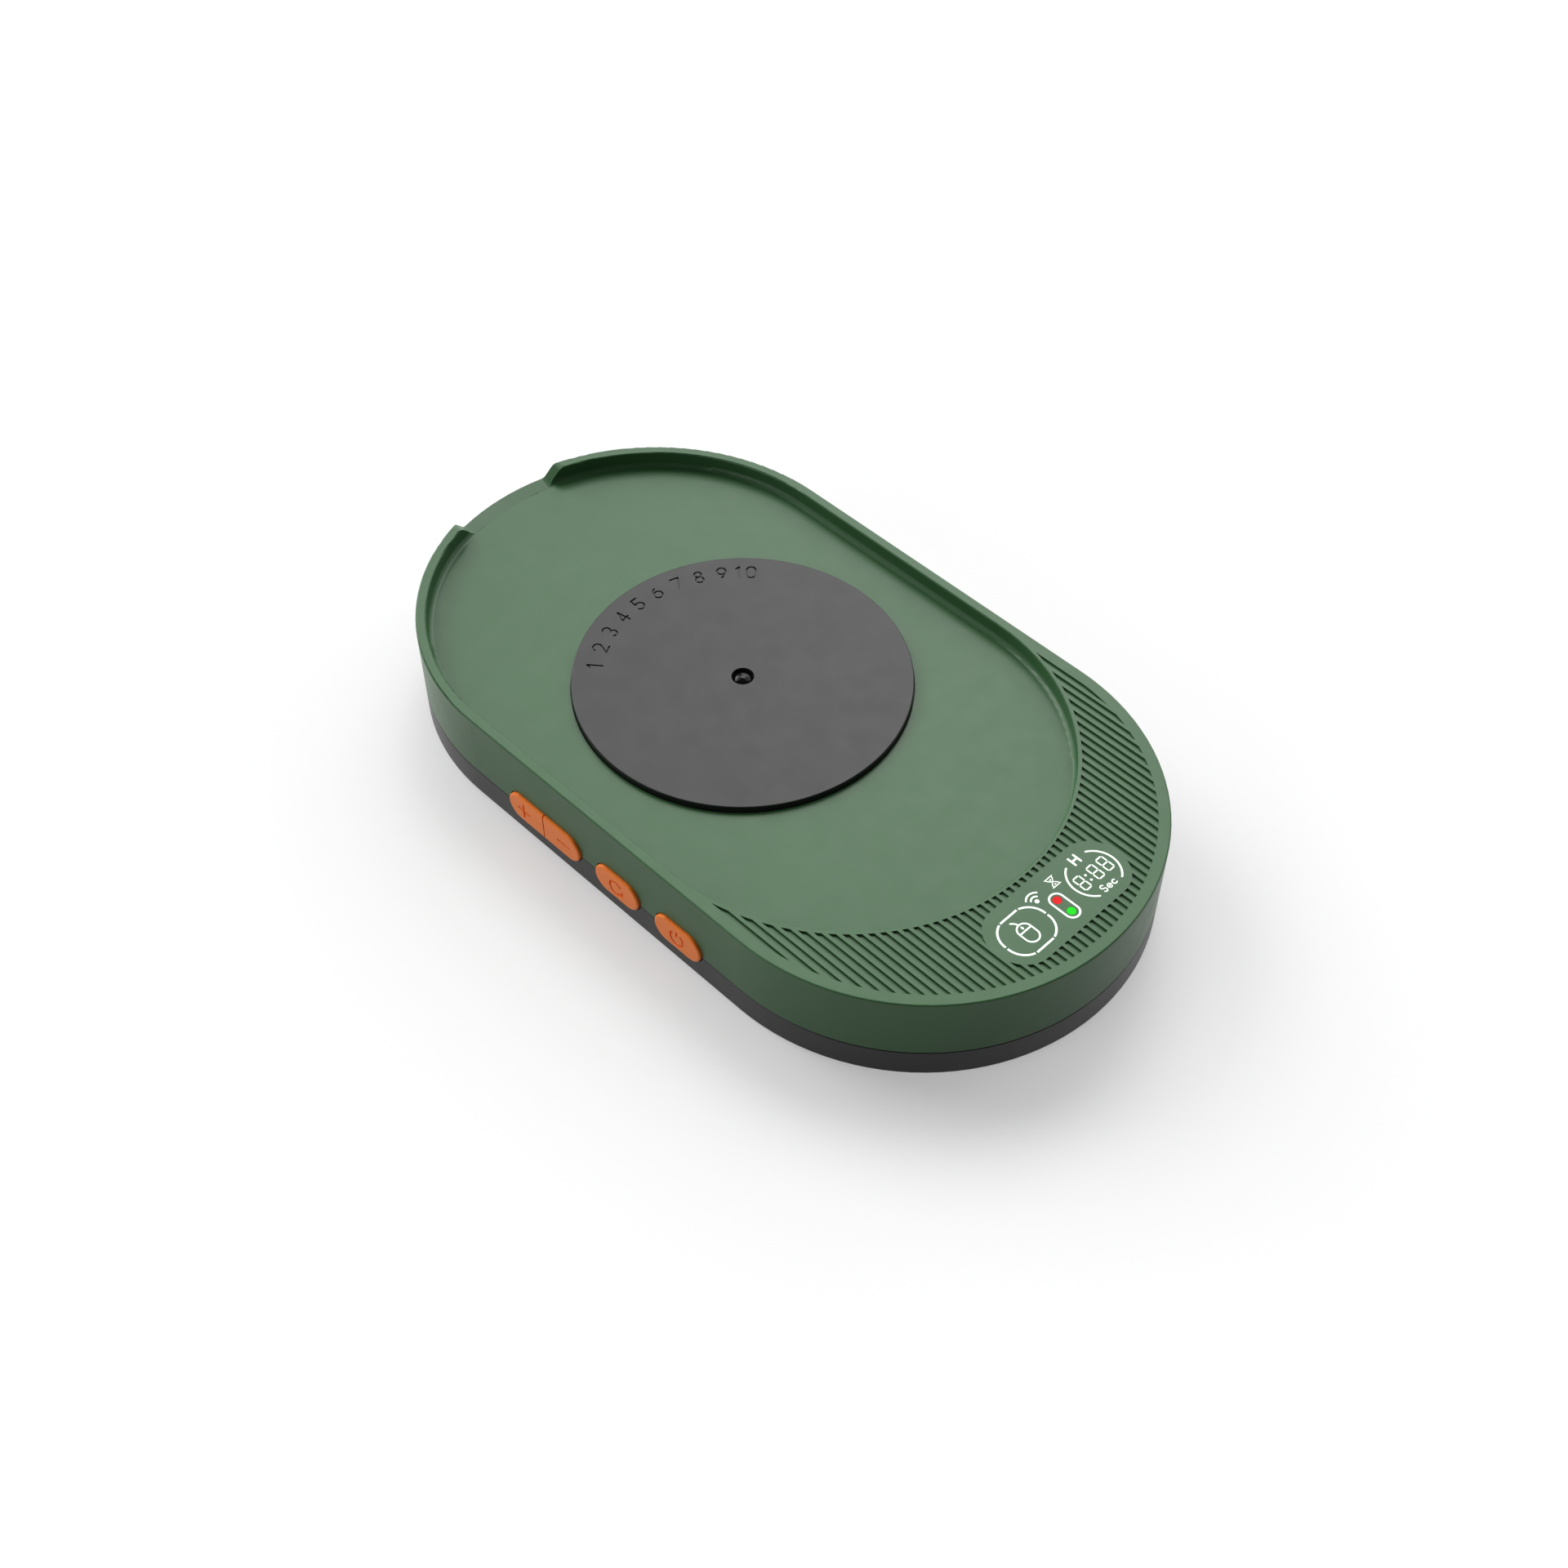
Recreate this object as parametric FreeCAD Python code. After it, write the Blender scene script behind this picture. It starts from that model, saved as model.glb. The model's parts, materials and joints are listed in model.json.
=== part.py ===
import FreeCAD, Part
import math
import os

# Mouse jiggler: a flat casing with a mouse tray, a driven turntable in the tray's floor,
# four push keys on the left side and a lit display on the front deck.
# Millimetres. +Z up, +Y towards the cable notch (back), +X to the user's right.
# Origin: middle of the outline, on the desk surface.

V = FreeCAD.Vector
UP = V(0, 0, 1)

# --- outline, in plan -------------------------------------------------------------------
TRAY_R = 41.26            # half width of the tray, and radius of its round ends
RIM_T = 1.97              # rim of the tray, and side wall of the casing
HALF_STRAIGHT = 34.4      # half length of the casing's straight sides
DECK_L = 18.25            # how much shorter the tray is than the casing, at the front

# --- height, from the desk up -----------------------------------------------------------
FOOT_PROUD = 0.3          # rubber feet below the base shell
FLOOR_T = 2.1             # base shell's floor
POST_H = 2.5              # post that carries the thrust washer
WASHER_T = 0.5
HUB_FLOAT = 0.05          # end play of the turntable on its washer
HUB_DROP = 2.05           # turntable hub below its gear
LOWER_GEAR_W = 2.5        # face width of the slow gear pair
LEVEL_GAP = 0.6           # between the slow and the fast gear pair
UPPER_GEAR_W = 2.0        # face width of the fast gear pair
GEAR_HEADROOM = 0.67      # above the fast gear pair
TRAY_FLOOR_T = 1.8
WELL_DEPTH = 1.43         # turntable's well in the tray floor
TRAY_DEPTH = 3.25
BASE_SIDE_H = 5.97        # base shell's side, underside to parting line

# --- shells -----------------------------------------------------------------------------
LIP_T = 1.1               # lip of the base shell inside the top shell
LIP_H = 1.5
LIP_GAP = 0.1
BASE_EDGE_R = 0.3         # rounding of the base's bottom edge
RIM_EDGE_R = 0.3          # rounding of the rim's outer top edge
RIM_INNER_R = 0.3         # rounding of the rim's inner top edge
TRAY_FILLET_R = 1.0       # hollow rounding between tray wall and tray floor
SEAM_BEVEL = 0.15         # bevel of both shells at the parting line
NOTCH_FLOOR_HALF = 9.9    # cable notch, half width at the tray floor
NOTCH_TOP_HALF = 12.66    # and at the rim's top
NOTCH_RISE = 0.42         # notch's floor rises by this to the casing's back face
NOTCH_FOOT_R = 1.3        # rounding at the notch's bottom corners
NOTCH_LIP_R = 2.0         # rounding at the notch's top corners
DECK_T = 2.0              # front deck's thickness

# --- front deck's grooves and display island --------------------------------------------
GROOVE_PITCH = 1.5275
GROOVE_W = 0.86
GROOVE_DEPTH = 0.42
GROOVE_TRAY_MARGIN = 0.7  # land between tray edge and grooves
GROOVE_RIM_MARGIN = 2.23  # land between casing edge and grooves
ISLAND_HALF_W = 15.2      # flat display island
ISLAND_L = 12.75
ISLAND_R = 5.6
ISLAND_TRAY_GAP = 1.9     # island's back edge, ahead of the tray's front edge

# --- turntable --------------------------------------------------------------------------
DISC_R = 31.2
DISC_PROUD = 1.255        # disc's top above the tray floor
DISC_FLOAT = 0.3          # disc's underside above the well floor
WELL_GAP = 0.2            # radial gap between disc and well
DISC_EDGE_R = 0.2
SCREW_WELL_R = 2.1        # hole in the disc's centre
SCREW_WELL_DEPTH = 0.9
DISC_WEB_T = 1.2          # disc under the hub screw's head
SLEEVE_R = 6.2            # disc's sleeve through the tray floor
SLEEVE_GAP = 0.4
SPIGOT_W = 6.2            # square spigot of the gear in the disc's sleeve
SPIGOT_GAP = 0.1
SCALE_R = 27.2            # radius of the engraved numbers' middles
SCALE_FIRST_DEG = 129.5   # place of the number 1, from +X
SCALE_STEP_DEG = 9.4
SCALE_COUNT = 10
DIGIT_H = 2.9
DIGIT_W = 1.7
DIGIT_SPACE = 0.6
ENGRAVE_W = 0.34
ENGRAVE_DEPTH = 0.3

# --- gear train -------------------------------------------------------------------------
MODULE = 0.8
PRESSURE_DEG = 20.0
ADDENDUM = 0.9            # tooth height over the pitch circle, in modules
DEDENDUM = 1.2
BACKLASH = 0.16           # at the pitch circles of each pair
TABLE_TEETH = 50
SMALL_TEETH = 12
LARGE_TEETH = 36
PINION_TEETH = 12
TABLE_AXLE_R = 2.0
HUB_BUSH_T = 1.2
HUB_R = 5.5
RUNNING_GAP = 0.04        # radial play of running fits
PRESS_GAP = 0.01          # radial room left in pressed joints
REDUCTION_AXLE_R = 1.0
REDUCTION_POST_R = 3.0
REDUCTION_HUB_R = 3.4
AXLE_SINK = 1.0           # how deep an axle sits in the floor
END_PLAY = 0.05
AXLE_TOP_GAP = 0.3        # above an axle's end

# --- motor ------------------------------------------------------------------------------
MOTOR_R = 10.0
MOTOR_H = 6.0
MOTOR_SKIN = 0.5
MOTOR_CAP_T = 0.6
MOTOR_BOSS_R = 2.5
MOTOR_BOSS_H = 0.6
MOTOR_SHAFT_R = 0.75
MOTOR_HEADROOM = 1.0      # between the motor's cap and the fast gears
MAGNET_R = 4.6
COIL_GAP = 0.5            # around the magnet, and inside the can
MOTOR_CUP_T = 1.2
MOTOR_CUP_H = 2.3
MOTOR_LEAD_DEG = 135.0    # side of the can where its leads leave, from +X
BRACKET_T = 0.6
BRACKET_W = 9.0
BRACKET_HOLE_X = 14.2     # bracket's screws, each side of the shaft
BRACKET_END = 3.0         # bracket beyond its screws

# --- keys -------------------------------------------------------------------------------
KEY_H = 6.0
KEY_RISE = 0.53           # keys' middle above the parting line
KEY_PROUD = 0.6
KEY_GAP = 0.2             # around a key, in the casing wall
KEY_EDGE_R = 0.4
KEY_SPLIT = 0.25          # between the plus and the minus key
KEY_FLANGE_T = 0.8
KEY_FLANGE_LIP = 0.8      # flange beyond the key, all round
KEY_TRAVEL = 0.4
KEY_PLAY = 0.05           # behind the wall, ahead of the flange
VOLUME_MID_Y = 15.0       # plus and minus pill
VOLUME_L = 19.0
MODE_MID_Y = -4.2
MODE_L = 11.1
POWER_MID_Y = -19.6
POWER_L = 11.4
SYMBOL_SIZE = 3.1
SYMBOL_W = 0.4
SYMBOL_DEPTH = 0.3
SYMBOL_SWEEP_DEG = 280.0  # open circles of the cycle and the power symbol
SYMBOL_OUT = 0.55         # plus and minus, from the middle of their keys to the pill's ends
CYCLE_START_DEG = 40.0
POWER_START_DEG = 130.0
ARROW_BARB = 1.0          # arrow head on the cycle symbol
ARROW_DROP = 1.15         # its tip below the symbol's middle
POWER_BAR_LOW = 0.75      # ends of the power symbol's bar above its middle
POWER_BAR_HIGH = 1.6
PLUNGER_R = 0.9
PLUNGER_GAP = 0.08
PLUNGER_SHOWN = 1.0       # plunger between key and switch
PLUNGER_HIDDEN = 0.5      # and inside the switch
SWITCH_W = 4.5
SWITCH_T = 1.9
KEY_BOARD_T = 1.0
KEY_BOARD_OVER = 1.5      # key board beyond the keys, along Y
KEY_BOARD_RISE = 3.2      # key board above the keys' middle
BOARD_SLOT_T = 1.2        # guide ribs that hold the key board
BOARD_SLOT_GAP = 0.05

# --- fasteners and feet -----------------------------------------------------------------
SCREW_R = 1.1
SCREW_HEAD_R = 2.0
SCREW_HEAD_H = 1.3
SCREW_HOLE_GAP = 0.2
THREAD_GAP = 0.02
CASE_SCREW_X = 27.0
CASE_SCREW_BEYOND = 21.6  # case screws beyond the straight sides' ends
CASE_SCREW_L = 7.0
CASE_SCREW_DEPTH = 2.3    # head's seat above the base's underside
COLUMN_R = 3.4
COLUMN_H = 3.1            # screw column above the base's floor
BOSS_R = 2.8
SMALL_SCREW_R = 0.8
SMALL_HEAD_R = 1.5
SMALL_HEAD_H = 0.9
SMALL_SCREW_L = 3.0
SMALL_POST_R = 2.2
HEAD_ROUND = 0.45         # rounding of a screw's head, as a share of its height
CROSS_W = 0.5             # cross recess in a screw's head
CROSS_DEPTH = 0.5
CROSS_REACH = 0.6         # its arms, as a share of the head's radius
HUB_DOME_H = 0.85         # domed head of the hub screw
HUB_HEAD_GAP = 0.1        # around that head, in the disc
FOOT_R = 6.5
FOOT_RECESS = 0.9
FOOT_GAP = 0.1
FOOT_EDGE_R = 0.24
FOOT_X = 25.0
FOOT_BEYOND = 7.6         # feet beyond the straight sides' ends

# --- electronics ------------------------------------------------------------------------
BOARD_T = 1.2
MAIN_BOARD_W = 42.0
MAIN_BOARD_L = 34.0
MAIN_BOARD_INSET = 2.4    # main board's back edge, inside the casing wall
BOARD_FRONT_W = 60.0      # main board's wide front part, with the connectors
BOARD_FRONT_L = 11.0
STANDOFF_H = 4.0
BOARD_HOLE_EDGE = 3.0     # board screws from the board's edges
USB_W = 8.94
USB_H = 3.26
USB_L = 7.35
USB_SKIN = 0.3
USB_SINK = 0.8            # socket's mouth inside the casing's back face
USB_PORT_GAP = 0.25
USB_TONGUE_W = 6.7
USB_TONGUE_T = 0.7
USB_TONGUE_L = 5.2
CHIP_W = 7.0
CHIP_T = 0.9
CONNECTOR_W = 6.0
CONNECTOR_D = 4.0
CONNECTOR_H = 3.0
CHOKE_W = 5.0
CHOKE_H = 2.2
DRIVER_W = 4.0
CAPACITOR_R = 1.8
CAPACITOR_H = 3.4
CAPACITOR_PITCH = 4.5
CAPACITOR_BEHIND = 6.0    # first capacitor, behind the controller's middle
BATTERY_W = 16.0
BATTERY_L = 34.0
BATTERY_T = 5.6
BATTERY_EDGE_R = 1.6
BATTERY_TAB_L = 2.0       # folded seam at the battery's back end
BATTERY_TAB_T = 1.2
BATTERY_WALL_GAP = 1.6    # battery inside the base's lip
BATTERY_BEYOND = 2.0      # battery beyond the straight sides' front end
RIB_T = 1.0
RIB_H = 2.0
RIB_GAP = 0.25
DISPLAY_BOARD_W = 30.0
DISPLAY_BOARD_L = 11.4
DISPLAY_BOARD_BEHIND = 1.3  # display board's back edge, ahead of the island's
DISPLAY_EAR_W = 45.0
DISPLAY_EAR_L = 6.5
DISPLAY_SCREW_X = 18.6
DISPLAY_DROP = 2.85       # display board's top below the deck's underside
SHROUD_WALL = 0.9
SHROUD_GAP = 0.1
SHROUD_MID_HALF = 2.6     # half width of the shroud's lamp chamber
LED_L = 1.6
LED_W = 0.8
LED_T = 0.6
LENS_R = 0.8
LENS_GAP = 0.05
LAMP_X = 0.12
LAMP_AHEAD = 1.325        # middle of the lamp pair, ahead of the island's middle
LAMP_PITCH = 3.12
RING_LED_X = 3.4          # half width and half length of the left field's ring of chips
RING_LED_Y = 2.9
DIGIT_LED_X = 3.2         # and of the right field's four chips
DIGIT_LED_Y = 2.0
WIRE_R = 0.6
WIRE_BEND_R = 3.0
RIBBON_T = 0.3
RIBBON_W = 5.0
RIBBON_BEND_R = 1.5
FLOOR_CLEAR = 0.2         # wires and ribbons over the base's floor
KEY_LEAD_X = -26.5        # runs along the casing, each to its connector
RIBBON_X = -19.5
MOTOR_LEAD_X = -12.0
BATTERY_PLUG_X = 12.0
KEY_LEAD_Y = 14.0         # where the leads leave the key board
BATTERY_LEAD_TURN_Y = 14.0

# --- worked out from the above ----------------------------------------------------------
CASE_R = TRAY_R + RIM_T
LIP_OUTER_R = TRAY_R - LIP_GAP
LIP_INNER_R = TRAY_R - LIP_T
BASE_Z = FOOT_PROUD
FLOOR_Z = BASE_Z + FLOOR_T
POST_Z = FLOOR_Z + POST_H
HUB_Z = POST_Z + WASHER_T + HUB_FLOAT
LOWER_GEAR_Z = HUB_Z + HUB_DROP
LOWER_GEAR_TOP = LOWER_GEAR_Z + LOWER_GEAR_W
UPPER_GEAR_Z = LOWER_GEAR_TOP + LEVEL_GAP
UPPER_GEAR_TOP = UPPER_GEAR_Z + UPPER_GEAR_W
WELL_UNDER_Z = UPPER_GEAR_TOP + GEAR_HEADROOM
WELL_Z = WELL_UNDER_Z + TRAY_FLOOR_T
TRAY_Z = WELL_Z + WELL_DEPTH
TRAY_UNDER_Z = TRAY_Z - TRAY_FLOOR_T
TOP_Z = TRAY_Z + TRAY_DEPTH
DECK_UNDER_Z = TOP_Z - DECK_T
PARTING_Z = BASE_Z + BASE_SIDE_H
LIP_TOP_Z = PARTING_Z + LIP_H
TRAY_FRONT_Y = -(HALF_STRAIGHT - DECK_L)
TABLE_Y = (HALF_STRAIGHT + TRAY_FRONT_Y) / 2
WELL_R = DISC_R + WELL_GAP
DISC_Z = WELL_Z + DISC_FLOAT
DISC_TOP_Z = TRAY_Z + DISC_PROUD
SCREW_SEAT_Z = DISC_TOP_Z - SCREW_WELL_DEPTH
SOCKET_TOP_Z = SCREW_SEAT_Z - DISC_WEB_T
SLEEVE_HOLE_R = SLEEVE_R + SLEEVE_GAP
SLOW_CENTRES = MODULE * (TABLE_TEETH + SMALL_TEETH) / 2
FAST_CENTRES = MODULE * (LARGE_TEETH + PINION_TEETH) / 2
REDUCTION_Y = TABLE_Y - SLOW_CENTRES
MOTOR_Y = REDUCTION_Y - FAST_CENTRES
MOTOR_TOP_Z = UPPER_GEAR_Z - MOTOR_HEADROOM
MOTOR_Z = MOTOR_TOP_Z - MOTOR_H
AXLE_BOTTOM_Z = FLOOR_Z - AXLE_SINK
BUSH_R = TABLE_AXLE_R + RUNNING_GAP + HUB_BUSH_T
BUSH_TOP_Z = LOWER_GEAR_TOP + LEVEL_GAP
SLEEVE_Z = UPPER_GEAR_TOP + END_PLAY
KEY_Z = PARTING_Z + KEY_RISE
KEY_BACK_X = -TRAY_R + KEY_PLAY + KEY_FLANGE_T
SWITCH_X = KEY_BACK_X + PLUNGER_SHOWN
KEY_BOARD_X = SWITCH_X + SWITCH_T
KEYS_Y0 = POWER_MID_Y - POWER_L / 2 - KEY_FLANGE_LIP
KEYS_Y1 = VOLUME_MID_Y + VOLUME_L / 2 + KEY_FLANGE_LIP
KEY_BOARD_Y0 = KEYS_Y0 - KEY_BOARD_OVER
KEY_BOARD_Y1 = KEYS_Y1 + KEY_BOARD_OVER
KEY_BOARD_TOP = KEY_Z + KEY_BOARD_RISE
BOARD_Z = FLOOR_Z + STANDOFF_H
BOARD_TOP_Z = BOARD_Z + BOARD_T
BOARD_BACK_Y = HALF_STRAIGHT + TRAY_R - MAIN_BOARD_INSET
BOARD_FRONT_Y = BOARD_BACK_Y - MAIN_BOARD_L
BACK_FACE_Y = HALF_STRAIGHT + CASE_R
USB_MOUTH_Y = BACK_FACE_Y - USB_SINK
BATTERY_X1 = LIP_INNER_R - BATTERY_WALL_GAP
BATTERY_X0 = BATTERY_X1 - BATTERY_W
BATTERY_Y0 = -HALF_STRAIGHT - BATTERY_BEYOND
BATTERY_Y1 = BATTERY_Y0 + BATTERY_L
ISLAND_Y1 = TRAY_FRONT_Y - TRAY_R - ISLAND_TRAY_GAP
ISLAND_MID_Y = ISLAND_Y1 - ISLAND_L / 2
LAMP_MID_Y = ISLAND_MID_Y - LAMP_AHEAD
DISPLAY_TOP_Z = DECK_UNDER_Z - DISPLAY_DROP
DISPLAY_Z = DISPLAY_TOP_Z - BOARD_T
WIRE_Z = FLOOR_Z + FLOOR_CLEAR + WIRE_R
DISPLAY_BACK_Y = ISLAND_Y1 - DISPLAY_BOARD_BEHIND


# --- shapes -----------------------------------------------------------------------------

def box(x0, x1, y0, y1, z0, z1):
    return Part.makeBox(x1 - x0, y1 - y0, z1 - z0, V(x0, y0, z0))


def post(x, y, radius, z0, z1):
    return Part.makeCylinder(radius, z1 - z0, V(x, y, z0))


def ring(x, y, outer, inner, z0, z1):
    return post(x, y, outer, z0, z1).cut(post(x, y, inner, z0, z1))


def stadium(radius, y0, y1, z0, z1):
    """Upright prism, straight along Y from centre y0 to centre y1, with round ends."""
    left = Part.LineSegment(V(-radius, y1, z0), V(-radius, y0, z0)).toShape()
    front = Part.Arc(V(-radius, y0, z0), V(0, y0 - radius, z0), V(radius, y0, z0)).toShape()
    right = Part.LineSegment(V(radius, y0, z0), V(radius, y1, z0)).toShape()
    back = Part.Arc(V(radius, y1, z0), V(0, y1 + radius, z0), V(-radius, y1, z0)).toShape()
    return Part.Face(Part.Wire([left, front, right, back])).extrude(V(0, 0, z1 - z0))


def casing_prism(radius, z0, z1):
    return stadium(radius, -HALF_STRAIGHT, HALF_STRAIGHT, z0, z1)


def tray_prism(radius, z0, z1):
    return stadium(radius, TRAY_FRONT_Y, HALF_STRAIGHT, z0, z1)


def rounded_block(x0, x1, y0, y1, z0, z1, radius):
    block = box(x0, x1, y0, y1, z0, z1)
    uprights = [e for e in block.Edges if abs(e.tangentAt(e.FirstParameter).z) > 0.99]
    return block.makeFillet(radius, uprights)


def edges_at(solid, z):
    """Edges that lie flat at height z."""
    return [e for e in solid.Edges
            if abs(e.BoundBox.ZMin - z) < 1e-4 and abs(e.BoundBox.ZMax - z) < 1e-4]


def rounded_outline(corners):
    """Closed wire through (point, radius) corners, each corner rounded by its own radius."""
    edges = []
    starts = []
    ends = []
    count = len(corners)
    for i in range(count):
        point, radius = corners[i]
        before = corners[i - 1][0].sub(point)
        after = corners[(i + 1) % count][0].sub(point)
        half = before.getAngle(after) / 2
        before.normalize()
        after.normalize()
        reach = radius / math.tan(half)
        bisector = before.add(after)
        if radius > 0:
            bisector.normalize()
            middle = point.add(bisector.multiply(radius / math.sin(half) - radius))
            starts.append(point.add(before.multiply(reach)))
            ends.append(point.add(after.multiply(reach)))
            edges.append(Part.Arc(starts[i], middle, ends[i]).toShape())
        else:
            starts.append(point)
            ends.append(point)
    for i in range(count):
        edges.append(Part.LineSegment(ends[i], starts[(i + 1) % count]).toShape())
    return Part.Wire(Part.__sortEdges__(edges))


def bent_path(points, radius):
    """Open wire through points, with an arc of one radius at each inner point."""
    edges = []
    last = points[0]
    for i in range(1, len(points) - 1):
        before = points[i - 1].sub(points[i])
        after = points[i + 1].sub(points[i])
        half = before.getAngle(after) / 2
        before.normalize()
        after.normalize()
        bisector = before.add(after)
        bisector.normalize()
        start = points[i].add(V(before).multiply(radius / math.tan(half)))
        end = points[i].add(V(after).multiply(radius / math.tan(half)))
        middle = points[i].add(bisector.multiply(radius / math.sin(half) - radius))
        edges.append(Part.LineSegment(last, start).toShape())
        edges.append(Part.Arc(start, middle, end).toShape())
        last = end
    edges.append(Part.LineSegment(last, points[-1]).toShape())
    return Part.Wire(edges)


def wire_tube(points, radius, bend_radius):
    path = bent_path(points, bend_radius)
    direction = points[1].sub(points[0])
    circle = Part.Wire(Part.Circle(points[0], direction, radius).toShape())
    return path.makePipeShell([circle], True, False)


def ribbon_strip(points, x0, x1, bend_radius):
    """Flat strip of the ribbon's thickness that follows points in a plane of constant X."""
    path = bent_path(points, bend_radius)
    direction = points[1].sub(points[0])
    direction.normalize()
    side = direction.cross(V(1, 0, 0)).multiply(RIBBON_T / 2)
    low = V(x0, points[0].y, points[0].z)
    high = V(x1, points[0].y, points[0].z)
    corners = [low.sub(side), high.sub(side), high.add(side), low.add(side)]
    section = Part.makePolygon(corners + [corners[0]])
    return path.makePipeShell([section], True, False)


# --- engraved strokes -------------------------------------------------------------------

def stroke_line(x0, y0, x1, y1, width, depth):
    """Straight stroke with round ends, standing on z 0."""
    length = math.hypot(x1 - x0, y1 - y0)
    angle = math.degrees(math.atan2(y1 - y0, x1 - x0))
    bar = Part.makeBox(length, width, depth, V(0, -width / 2, 0))
    bar = bar.fuse([post(0, 0, width / 2, 0, depth), post(length, 0, width / 2, 0, depth)])
    bar.rotate(V(0, 0, 0), UP, angle)
    bar.translate(V(x0, y0, 0))
    return bar


def stroke_arc(x, y, radius, start_deg, sweep_deg, width, depth):
    """Curved stroke with round ends, turning by sweep_deg to the left from start_deg."""
    outer = Part.makeCylinder(radius + width / 2, depth, V(0, 0, 0), UP, sweep_deg)
    inner = post(0, 0, radius - width / 2, 0, depth)
    band = outer.cut(inner)
    if sweep_deg < 360:
        last = math.radians(sweep_deg)
        first_end = post(radius, 0, width / 2, 0, depth)
        last_end = post(radius * math.cos(last), radius * math.sin(last), width / 2, 0, depth)
        band = band.fuse([first_end, last_end])
    band.rotate(V(0, 0, 0), UP, start_deg)
    band.translate(V(x, y, 0))
    return band


def digit(number, width, depth):
    """Strokes of one plain digit, DIGIT_W by DIGIT_H, centred on the origin."""
    side = DIGIT_W / 2
    top = DIGIT_H / 2
    bowl = DIGIT_H / 2 - side

    def line(x0, y0, x1, y1):
        return stroke_line(x0, y0, x1, y1, width, depth)

    def arc(x, y, radius, start_deg, sweep_deg):
        return stroke_arc(x, y, radius, start_deg, sweep_deg, width, depth)

    shapes = {
        0: [arc(0, bowl, side, 0, 180), arc(0, -bowl, side, 180, 180),
            line(-side, bowl, -side, -bowl), line(side, bowl, side, -bowl)],
        1: [line(0, -top, 0, top), line(-side * 0.7, top * 0.6, 0, top)],
        2: [arc(0, bowl, side, -35, 200), line(side * 0.82, bowl - side * 0.57, -side, -top),
            line(-side, -top, side, -top)],
        3: [arc(0, top * 0.5, top * 0.5, -90, 235), arc(0, -top * 0.5, top * 0.5, -145, 235)],
        4: [line(side * 0.4, top, -side, -top * 0.4), line(-side, -top * 0.4, side, -top * 0.4),
            line(side * 0.4, top, side * 0.4, -top)],
        5: [line(side * 0.8, top, -side * 0.7, top), line(-side * 0.7, top, -side * 0.8, 0.05),
            arc(-side * 0.15, -bowl, side, -150, 285)],
        6: [arc(0, -bowl, side, 0, 360), arc(side * 1.25, -bowl, side * 2.25, 118, 62)],
        7: [line(-side, top, side, top), line(side, top, -side * 0.3, -top)],
        8: [arc(0, top * 0.52, top * 0.46, 0, 360), arc(0, -top * 0.48, top * 0.52, 0, 360)],
        9: [arc(0, bowl, side, 0, 360), arc(-side * 1.25, bowl, side * 2.25, -62, 62)],
    }
    strokes = shapes[number]
    return strokes[0].fuse(strokes[1:])


def number_strokes(number, width, depth):
    """Strokes of a whole number, its digits side by side and centred on the origin."""
    digits = [int(letter) for letter in str(number)]
    step = DIGIT_W + DIGIT_SPACE
    solids = []
    for place, value in enumerate(digits):
        solid = digit(value, width, depth)
        solid.translate(V((place - (len(digits) - 1) / 2) * step, 0, 0))
        solids.append(solid)
    return Part.makeCompound(solids)


def scale_strokes():
    """Numbers along the turntable's edge, each upright seen from the disc's centre."""
    solids = []
    for place in range(SCALE_COUNT):
        angle = SCALE_FIRST_DEG - place * SCALE_STEP_DEG
        solid = number_strokes(place + 1, ENGRAVE_W, ENGRAVE_DEPTH * 2)
        solid.translate(V(0, SCALE_R, DISC_TOP_Z - ENGRAVE_DEPTH))
        solid.rotate(V(0, 0, 0), UP, angle - 90)
        solid.translate(V(0, TABLE_Y, 0))
        solids.extend(solid.Solids)
    return solids


# --- gears ------------------------------------------------------------------------------

def involute_point(base_r, radius, start_angle, side):
    """Point at a radius on an involute that starts at start_angle and leans towards side."""
    roll = math.sqrt(max((radius / base_r) ** 2 - 1, 0))
    angle = start_angle + side * (roll - math.atan(roll))
    return V(radius * math.cos(angle), radius * math.sin(angle), 0)


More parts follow.
